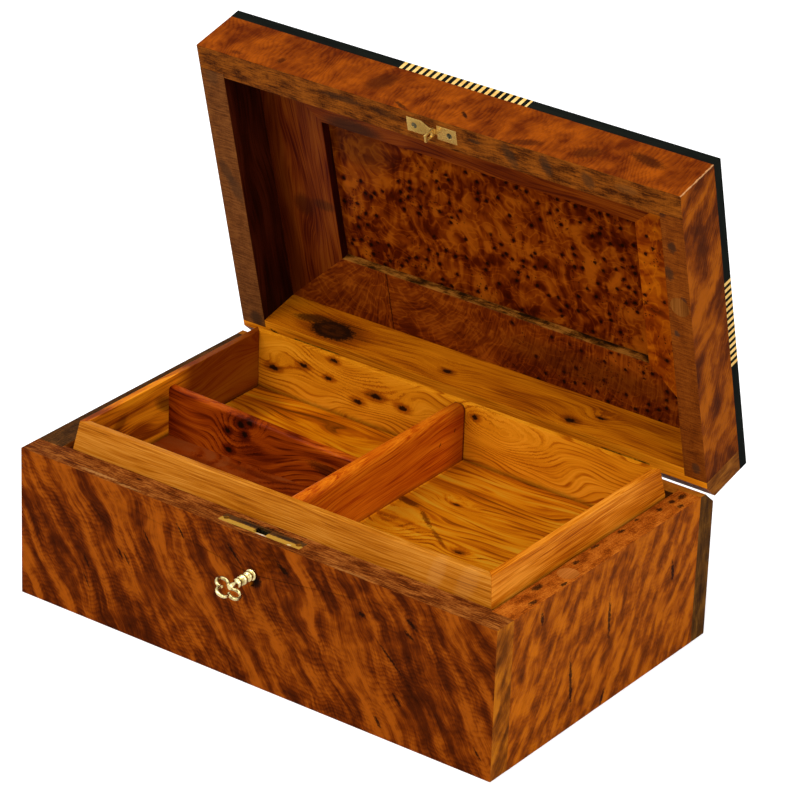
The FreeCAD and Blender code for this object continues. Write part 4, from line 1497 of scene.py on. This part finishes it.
@dataclass
class Tray:
    """The loose tray with its dividers; marks are placed in millimetres."""

    dresser: Dresser
    arris: float = 0.45 * MM
    front_gleams: tuple[Spot, ...] = (
        Spot(101, 92, 12, 5, 75, (212, 158, 92), 0.12), Spot(119, 92, 14, 6, 68, (206, 150, 84), 0.12))
    back_knots: tuple[Knot, ...] = (
        Knot(-112.8, 81.0, 1.7), Knot(-92.7, 88.6, 1.5), Knot(-75.8, 86.2, 1.3), Knot(-72.8, 97.8, 1.3),
        Knot(-56.2, 78.8, 1.6), Knot(-44.5, 85.5, 1.9), Knot(-26.6, 84.2, 1.7),
        Knot(19.6, 93.9, 1.5, 1.6, 3.0), Knot(38.0, 88.0, 2.4, 2.4, 5.0, False),
        Knot(-58.0, 99.0, 2.6, 2.6, 4.0, False))
    # Painted shade at the foot of the back wall, where it meets the floor.
    back_shade: tuple[Mark, ...] = (Band(Axis.ACROSS, 70.5, 66.5, Colours.SHADE_BROWN, 0.6),)
    # The first band darkens the wall towards the back, the second is painted shade at its foot, and the spots
    # are dark patches of the wood.
    left_stains_and_shade: tuple[Mark, ...] = (
        Band(Axis.ALONG, -4.0, 12.0, (92, 26, 2), 0.82), Band(Axis.ACROSS, 70.5, 66.5, (40, 12, 1), 0.7),
        Spot(-11, 86, 5, 12, 60, (60, 20, 2), 0.7), Spot(-50, 88, 9, 4, 30, (84, 30, 2), 0.6))
    floor_knots: tuple[Knot, ...] = (
        Knot(39.9, 24.4, 1.2), Knot(71.0, -17.1, 1.2), Knot(20.0, -18.0, 4.0, 1.3, 5.0, False),
        Knot(-70.0, -40.0, 6.0, 1.6, 5.0, False))
    # The two patches are painted shade over the front-left and back-left compartments; the first band is
    # painted shade that darkens the floor fully right of x 15.5, and the last band is painted shade towards the
    # back wall; the spots are patches of the wood.
    floor_stains_and_shade: tuple[Mark, ...] = (
        Patch((-130, -80), (6, -5), (121, 81, 150), 1.0), Patch((-130, -5), (6, 70), (196, 190, 160), 1.0),
        Spot(19, 11, 9, 2.6, -8, (84, 30, 2), 0.85), Spot(37, 2, 11, 1.7, -40, (96, 36, 2), 0.8),
        Spot(53, -10, 11, 1.5, -35, (104, 40, 2), 0.7), Spot(-95, -24, 16, 5, 10, (82, 26, 2), 0.6),
        Spot(-60, -15, 24, 3, 0, (78, 22, 2), 0.6), Spot(-34, -28, 18, 4, -8, (150, 66, 8), 0.55),
        Spot(-8, -20, 9, 5, 20, (146, 62, 8), 0.5), Spot(-110, 48, 16, 20, 0, (80, 26, 2), 0.45),
        Band(Axis.ALONG, 12, 15.5, Colours.SHADE_BROWN, 0.5), Band(Axis.ACROSS, 65.0, 68.5, Colours.SHADE_BROWN, 0.5))
    # The first band is painted shadow in the gap at the back end, the second darkens the board towards the
    # back, the last band is painted shade at its foot, and the spots are small dark marks.
    cross_stains_and_shade: tuple[Mark, ...] = (
        Band(Axis.ALONG, 65.6, 67.4, BLACK_MARK_AND_SHADOW, 0.9), Band(Axis.ALONG, 48.0, 66.0, (96, 26, 2), 0.5),
        Spot(45.9, 83.9, 1.6, 0.6, 50), Spot(59.0, 87.6, 1.3, 0.6, 50),
        Band(Axis.ACROSS, 70.0, 67.0, (70, 22, 2), 0.5))
    long_knots: tuple[Knot, ...] = (
        Knot(-83.5, 82.2, 1.7, 1.1), Knot(-75.0, 88.5, 2.3, 1.2), Knot(-69.1, 91.0, 1.8, 1.1),
        Knot(-72.3, 83.6, 2.2, 1.1), Knot(-82.7, 71.4, 2.0, 1.3))
    long_stains: tuple[Mark, ...] = (
        Band(Axis.DEEP, 4.2, 3.2, (160, 76, 12), 0.5), Spot(-17, 80, 16, 4, -6, (40, 10, 1), 0.7))

    def walls(self) -> dict[str, Wood]:
        """Finishes of the four walls.

        Returns:
            The finishes by node.
        """
        front = PlainGrain("tray_front", Grain(X, Z, shift=(40, 0, 0)), Colours.TRAY_FRONT, Gloss.SATIN,
                           self.front_gleams, stray=1.5, lines=0.12, fibres=1.1, clouds=0.6)
        back = PlainGrain("tray_back", Grain(X, Z), Colours.TRAY_BACK, Gloss.SATIN,
                          self.back_shade, spacing=3.0, stray=7.0, drift=(56.0, 32.0), lines=0.2, clouds=0.4,
                          fibres=0.4, knots=self.back_knots)
        left = PlainGrain("tray_left", Grain(Y, Z, shift=(9, 0, 0)), Colours.TRAY_LEFT, Gloss.SATIN,
                          self.left_stains_and_shade, stray=7.0, clouds=1.0)
        right = PlainGrain("tray_right", Grain(Y, Z, shift=(90, 0, 0)), Colours.TRAY_RIGHT, Gloss.SATIN,
                           stray=1.5, lines=0.1, fibres=0.9, clouds=0.7)
        return {look.name: look for look in (front, back, left, right)}

    def boards(self) -> dict[str, Wood]:
        """Finishes of the floor and the dividers.

        Returns:
            The finishes by node.
        """
        floor = PlainGrain("tray_floor", Grain(X, Y), Colours.FLOOR, Gloss.SATIN, self.floor_stains_and_shade,
                           spacing=4.5, stray=7.0, drift=(80.0, 34.0), lines=0.3, clouds=1.15, fibres=0.6,
                           knots=self.floor_knots)
        cross = PlainGrain("divider_cross", Grain(Y, Z, shift=(55, 11, 0)), Colours.CROSS, Gloss.SATIN,
                           self.cross_stains_and_shade, lines=0.18, stray=3.0, fibres=0.9, tilt=6)
        long = PlainGrain("divider_long", Grain(X, Z), Colours.LONG, Gloss.SATIN, self.long_stains, stray=7.0,
                          drift=(70.0, 26.0), lines=0.24, clouds=1.0, knots=self.long_knots)
        return {"tray_floor": floor, "cross_divider": cross, "long_divider": long}

    def dress(self) -> None:
        """Finishes every node of the tray."""
        for node, look in {**self.walls(), **self.boards()}.items():
            self.dresser.dress(node, look, arris=self.arris)


@dataclass
class Lid:
    """The lid with its frame, edging and fittings; marks are placed in millimetres on the closed box."""

    dresser: Dresser
    arris: float = 0.35 * MM
    plate_arris: float = 0.18 * MM
    rim_depth: float = 0.12 * MM
    front_marks: tuple[Mark, ...] = (
        Spot(14.1, 95.1, 4, 1.3, -40), Spot(-19.8, 87.4, 6, 1.2, -20, share=0.7),
        Spot(-41, 101, 11, 7, 60, (56, 17, 2), 0.65), Spot(-100.3, 93, 3.4, 2.4, 80, (54, 17, 2), 0.75),
        Spot(-126.4, 88.6, 4, 1.8, 0, (70, 24, 3), 0.6), Spot(119, 103, 13, 4, -10, (50, 16, 2), 0.8),
        Spot(88.4, 95, 9, 5, 30, (60, 20, 3), 0.7), Spot(56, 89, 10, 3, 20, (62, 21, 3), 0.7),
        Band(Axis.ALONG, 149.3, 149.8, WORN, 0.7))
    right_marks: tuple[Mark, ...] = (Band(Axis.ALONG, -95.4, -95.8, WORN, 0.7),)
    left_rim_marks: tuple[Mark, ...] = (
        Spot(-17.6, -144, 9, 4, 20, (58, 36, 20), 0.6), Spot(-8, -139, 10, 5, 20, (60, 40, 24), 0.5),
        Spot(79, -140, 6, 5, 0, (52, 36, 22), 0.7), Spot(-80, -143, 8, 5, 0, (66, 42, 22), 0.5))
    right_rim_marks: tuple[Mark, ...] = (
        Spot(-63, 142, 4, 3, 0, (48, 30, 18), 0.8), Spot(-46, 139, 5, 3, 10, (52, 34, 20), 0.75),
        Spot(-84, 138, 5, 3, 0, (46, 28, 16), 0.8), Spot(-31, 146, 3, 2, 0, (50, 34, 24), 0.8),
        Spot(-9, 140, 2.5, 2, 0, (56, 40, 28), 0.8), Spot(76, 144, 4, 3, 0, (60, 42, 26), 0.7))
    front_rim_marks: tuple[Mark, ...] = (
        Spot(-56, -91, 16, 2.6, 0, (46, 28, 14), 0.7), Spot(-30, -90, 10, 3, 4, (40, 22, 10), 0.6),
        Spot(48, -88, 9, 4, 60, (52, 36, 20), 0.6), Spot(70, -89, 7, 4, 70, (50, 34, 20), 0.7),
        Spot(95, -88, 6, 4, 60, (54, 36, 20), 0.6), Spot(118, -90, 8, 3, 0, (110, 66, 26), 0.5),
        Spot(27, -90, 5, 1.4, 0, (44, 30, 16), 0.7))
    back_rim_marks: tuple[Mark, ...] = (Spot(-128.7, 84.2, 3.4, 1.2, 10),)
    back_knots: tuple[Knot, ...] = (
        Knot(-95.5, 94.6, 6.6, 1.9, 2.2), Knot(62.7, 89.9, 2.0, 2.0), Knot(76.1, 98.8, 1.2, 2.2),
        Knot(-18.7, 94.1, 1.6, 2.2))
    back_marks: tuple[Mark, ...] = (
        Spot(-112, 98.5, 13, 4.0, 12, (44, 18, 3), 0.85), Spot(-128.7, 79.2, 3, 2, 0))
    # Darkens the front-left part of the panel.
    panel_darkening: tuple[Mark, ...] = (Spot(-80, -36, 28, 16, 10, Colours.PANEL_DARK, 0.4),)
    panel_calm: tuple[Spot, ...] = (Spot(-78, -32, 30, 20, 0, share=0.9),)
    # Painted shade on the left part of the frame's front member, under the lid's front board.
    frame_front_shade: tuple[Mark, ...] = (Spot(-75, -50, 22, 7, 0, (22, 18, 12), 0.75),)
    frame_back_marks: tuple[Mark, ...] = (
        Spot(60, 60, 58, 12, 0, (56, 18, 2), 0.45), Patch((-66.6, 30), (-65.4, 90), (90, 70, 60), 0.8, 0.4))
    frame_back_calm: tuple[Spot, ...] = (Spot(-60, 58, 82, 40, 0, share=1.4),)
    frame_left_marks: tuple[Mark, ...] = (
        Spot(8, -102, 4, 9, 0, (36, 20, 6), 0.5), Spot(12, -116, 8, 8, 0, (44, 12, 2), 0.6),
        Band(Axis.ACROSS, -121, -127, (70, 24, 2), 0.5))
    plate_marks: tuple[Mark, ...] = (Spot(-8, -88, 7, 5, 0, Colours.PLATE_SHADE, 0.6),)
    strike_screws: ScrewGroup = ScrewGroup(
        "strike_screws", "lid", "lock_steel", ScrewSize(1.68, 0.84, 1.0), ScrewGroup.LOCK_Y,
        ScrewGroup.LID_HEAD_Z, True, {-10.8: 32, 11.0: -20})
    hinge_screws: ScrewGroup = ScrewGroup(
        "hinge_screws_lid", "lid", "brass", ScrewGroup.HINGE_SIZE, ScrewGroup.HINGE_Y,
        ScrewGroup.LID_HEAD_Z, True, {x: 5 * x for x in ScrewGroup.HINGE_XS})

    def dress(self) -> None:
        """Finishes every node of the lid."""
        self.dress_boards()
        self.dress_frame()
        self.dress_edging()
        self.dress_fittings()

    def outer_looks(self) -> dict[Side, Wood]:
        """Finishes of the lid's outer faces.

        Returns:
            The finishes by the way that the faces look.
        """
        front = FlameBurl("burl_lid_front", Grain(X, Z, True, (150, 3, 0)), Colours.LID_FRONT, Gloss.LACQUER,
                          self.front_marks, lean=70, width=13.0, length=24.0, broad=0.8, streaks=0.3,
                          rings=0.1, ring_lean=12, ripple=14.0, mottle=0.6)
        back = FlameBurl("burl_lid_back", Grain(X, Z, True, (350, 3, 20)), Colours.LID_FRONT, Gloss.LACQUER,
                         lean=60)
        right = FlameBurl("burl_lid_right", Grain(Y, Z, True, (40, 80, 0)), Colours.LID_SIDE, Gloss.LACQUER,
                          self.right_marks, lean=-45, width=13.0, length=26.0, bend=16.0, broad=1.4,
                          streaks=0.4, ring_lean=60, mottle=0.6)
        left = replace(right, name="burl_lid_left", grain=Grain(Y, Z, True, (240, 80, 30)), marks=(), lean=45)
        return {Side.FRONT: front, Side.BACK: back, Side.LEFT: left, Side.RIGHT: right}

    def dress_boards(self) -> None:
        """The four boards of the lid's wall and the plug in its rim."""
        outer = self.outer_looks()
        ends = {side: outer[side] for side in (Side.LEFT, Side.RIGHT)}
        rim_front = SawnRim("rim_lid_front", Grain(X, Y, True, (9, 4, 0)), Colours.RIM_LID_FRONT, Gloss.DULL,
                            self.front_rim_marks, self.rim_depth, streaks=0.8, cross=0.15, smudges=0.8)
        rim_left = SawnRim("rim_lid_left", Grain(Y, X, True, (90, 4, 0)), Colours.RIM_LID_LEFT, Gloss.DULL,
                           self.left_rim_marks, self.rim_depth, streaks=0.12, cross=0.9)
        rim_right = replace(rim_left, name="rim_lid_right", grain=Grain(Y, X, True, (190, 4, 0)),
                            palette=Colours.RIM_LID_RIGHT, marks=self.right_rim_marks)
        inner_front = PlainGrain("inner_lid_front", Grain(X, Z, True), Colours.LID_LEFT, Gloss.SATIN)
        inner_side = PlainGrain("inner_lid_left", Grain(Y, Z, True), Colours.LID_LEFT, Gloss.SATIN,
                                clouds=1.0)
        inner_back = PlainGrain("inner_lid_back", Grain(X, Z, True), Colours.LID_BACK, Gloss.SATIN,
                                self.back_marks, lines=0.1, stray=1.5, fibres=0.8, knots=self.back_knots)
        # Painted light: this rim is painted brighter than the inner face to offset the shade on it.
        rim_back = PlainGrain("rim_lid_back_brightened", Grain(X, Y, True), Colours.RIM_LID_BACK_BRIGHTENED, Gloss.SATIN,
                              self.back_rim_marks, lines=0.1, stray=1.5, fibres=0.8)
        end = SawnRim("end_lid", Grain(Z, Y, True, (30, 10, 0)), Colours.END_LID, Gloss.LACQUER,
                      streaks=0.5, cross=0.1, smudges=0.9, grit=0.1)
        boards = {
            "lid_front_board": (inner_front, {Side.FRONT: outer[Side.FRONT], Side.UNDER: rim_front, **ends}),
            "lid_back_board": (inner_back, {Side.BACK: outer[Side.BACK], Side.UNDER: rim_back, Side.LEFT: end,
                                            Side.RIGHT: end}),
            "lid_left_side": (inner_side, {Side.LEFT: outer[Side.LEFT], Side.UNDER: rim_left}),
            "lid_right_side": (inner_side, {Side.RIGHT: outer[Side.RIGHT], Side.UNDER: rim_right})}
        for node, (inner, faces) in boards.items():
            self.dresser.dress(node, inner, faces, True, self.arris)
        plug = PlainGrain("plug_lid", Grain(Y, X, True), Colours.PLUG_LID, Gloss.DULL, spacing=1.6, lines=0.1)
        self.dresser.dress("rim_plug_lid", plug, on_lid=True)

    def dress_frame(self) -> None:
        """The top panel and the mitred frame under it."""
        panel = EyeBurl("burl_eyes", Grain(X, Y, True), Colours.EYES, Gloss.LACQUER, self.panel_darkening,
                        calm=self.panel_calm)
        front = PlainGrain("frame_front", Grain(X, Y, True), Colours.FRAME_BACK, Gloss.SATIN,
                           self.frame_front_shade)
        back = EyeBurl("frame_back", Grain(X, Y, True, (80, 30, 0)), Colours.FRAME_BACK, Gloss.SATIN,
                       self.frame_back_marks, calm=self.frame_back_calm, fan=(-64, 24), seam=-66.0,
                       clouds=0.6, flow=0.7)
        left = PlainGrain("frame_left", Grain(Y, X, True), Colours.FRAME_LEFT, Gloss.SATIN,
                          self.frame_left_marks, clouds=0.9, fibres=0.7)
        right = EyeBurl("frame_right", Grain(Y, X, True, (60, 0, 0)), Colours.FRAME_RIGHT, Gloss.SATIN,
                        crowd=0.2)
        edge_left = PlainGrain("frame_left_edge", Grain(Y, Z, True), Colours.FRAME_LEFT_EDGE, Gloss.SATIN)
        edge_back = SawnRim("frame_back_edge", Grain(X, Z, True), Colours.FRAME_BACK_EDGE, Gloss.SATIN,
                            smudges=1.7)
        boards = {
            "lid_top_panel": (panel, {}), "lid_frame_front": (front, {}),
            "lid_frame_back": (back, {Side.FRONT: edge_back}),
            "lid_frame_left": (left, {Side.RIGHT: edge_left}), "lid_frame_right": (right, {})}
        for node, (look, faces) in boards.items():
            self.dresser.dress(node, look, faces, True, self.arris)

    def dress_edging(self) -> None:
        """The black edging and its yellow bars."""
        for way, along in (("front", X), ("back", X), ("left", Y), ("right", Y)):
            black = InkedWood("edging_" + way, Grain(along, Z, True), Colours.BLACK, Gloss.DULL)
            yellow = InkedWood("bars_" + way, Grain(along, Z, True), Colours.YELLOW, Gloss.SATIN)
            self.dresser.dress("edge_band_" + way, black, on_lid=True)
            self.dresser.dress("stripes_" + way, yellow, on_lid=True)

    def dress_fittings(self) -> None:
        """The strike plate, the upper hinge leaves and their screws."""
        brass = Metal("brass_lid", Colours.PLATE, Colours.PLATE_TARNISH, 0.24, 0.5, True, self.plate_marks,
                      metallic=0.8)
        steel = Metal("steel_lid", Colours.STEEL, Colours.STEEL_TARNISH, 0.35, 0.8, True)
        dull = Metal("brass_dull_lid", Colours.OLIVE, Colours.OLIVE_TARNISH, 0.4, 1.0, True)
        self.dresser.dress("strike_plate", brass, on_lid=True, arris=self.plate_arris)
        for node in ("hinge_leaf_lid_left", "hinge_leaf_lid_right"):
            self.dresser.dress(node, dull, on_lid=True)
        opening = Matrix.Scale(PER_METRE, 4) @ HINGE.closing().inverted() @ Matrix.Scale(MM, 4)
        for screws, look in ((self.strike_screws, steel), (self.hinge_screws, dull)):
            screws.build(self.dresser.finish(look), opening)


class Lamp(NamedTuple):
    """A soft square lamp: its name, its place and side in metres and its power in watts."""

    name: str
    place: Triple
    size: float
    power: float


@dataclass
class Studio:
    """Camera, floor, lamps and surroundings, in metres and degrees."""

    lens: float = 195.885
    sensor: float = 36.0
    sight: float = 100.0
    place: Triple = (1.16228, -1.60642, 1.10599)
    turn: Triple = (63.6394, -1.9088, 36.3736)
    floor_size: float = 30.0
    floor_drop: float = 0.3 * MM
    floor_colour: Colour = (0.86, 0.86, 0.86, 1.0)
    floor_glow: float = 0.5
    white: Colour = (1.0, 1.0, 1.0, 1.0)
    ambient: float = 0.55
    aim: Triple = (0.0, 0.0, 0.1)
    lamps: tuple[Lamp, ...] = (
        Lamp("key", (-0.9, -1.5, 1.9), 1.4, 29.0), Lamp("fill", (1.9, -0.8, 1.2), 1.4, 17.0),
        Lamp("top", (0.35, -0.45, 2.3), 1.2, 17.0))

    def build(self) -> None:
        """Sets the whole studio up."""
        bpy.context.scene.view_settings.view_transform = "Standard"
        self.add_camera()
        self.add_floor()
        for lamp in self.lamps:
            self.add_lamp(lamp)
        self.set_surroundings()

    def add_camera(self) -> None:
        """The photograph's camera."""
        data = bpy.data.cameras.new("camera")
        data.lens = self.lens
        data.sensor_width = self.sensor
        data.clip_end = self.sight
        camera = bpy.data.objects.new("camera", data)
        camera.location = self.place
        camera.rotation_euler = [math.radians(angle) for angle in self.turn]
        bpy.context.scene.collection.objects.link(camera)
        bpy.context.scene.camera = camera

    def add_floor(self) -> None:
        """A pale floor that keeps the shadow and is white where the light is full."""
        mesh = bpy.data.meshes.new("floor")
        made = bmesh.new()
        bmesh.ops.create_grid(made, x_segments=1, y_segments=1, size=self.floor_size / 2)
        bmesh.ops.translate(made, verts=made.verts, vec=(0, 0, -self.floor_drop))
        made.to_mesh(mesh)
        made.free()
        graph = Graph(bpy.data.materials.new("floor"))
        seen = graph.node("ShaderNodeLightPath", out="Is Camera Ray")
        pale = graph.node("ShaderNodeBsdfDiffuse", None, {"Color": self.floor_colour})
        strength = seen * self.floor_glow
        glow = graph.node("ShaderNodeEmission", None, {"Color": self.white, "Strength": strength})
        graph.close(graph.node("ShaderNodeAddShader", None, {0: pale, 1: glow}))
        mesh.materials.append(graph.owner)
        floor = bpy.data.objects.new("floor", mesh)
        bpy.context.scene.collection.objects.link(floor)

    def add_lamp(self, lamp: Lamp) -> None:
        """Hangs a lamp that looks at the middle of the box.

        Args:
            lamp: The lamp.
        """
        data = bpy.data.lights.new(lamp.name, "AREA")
        data.shape = "SQUARE"
        data.size = lamp.size
        data.energy = lamp.power
        hung = bpy.data.objects.new(lamp.name, data)
        hung.location = lamp.place
        way = Vector(self.aim) - Vector(lamp.place)
        hung.rotation_euler = way.to_track_quat("-Z", "Y").to_euler()
        bpy.context.scene.collection.objects.link(hung)

    def set_surroundings(self) -> None:
        """White surroundings for the eye and for reflections, plain soft light for the rest."""
        world = bpy.data.worlds.new("studio")
        bpy.context.scene.world = world
        graph = Graph(world)
        path = graph.node("ShaderNodeLightPath", out="Is Camera Ray")
        seen = graph.math("MAXIMUM", path, path.output("Is Glossy Ray"))
        seen = graph.math("MAXIMUM", seen, path.output("Is Transmission Ray"))
        strength = seen * (1 - self.ambient) + self.ambient
        graph.close(graph.node("ShaderNodeBackground", None, {"Color": self.white, "Strength": strength}))


def main() -> None:
    """Builds the scene in order."""
    logging.basicConfig(level=logging.INFO)
    dresser = Dresser()
    Studio().build()
    Base(dresser).dress()
    Key(dresser).build()
    Tray(dresser).dress()
    Lid(dresser).dress()


if __name__ == "__main__":
    main()
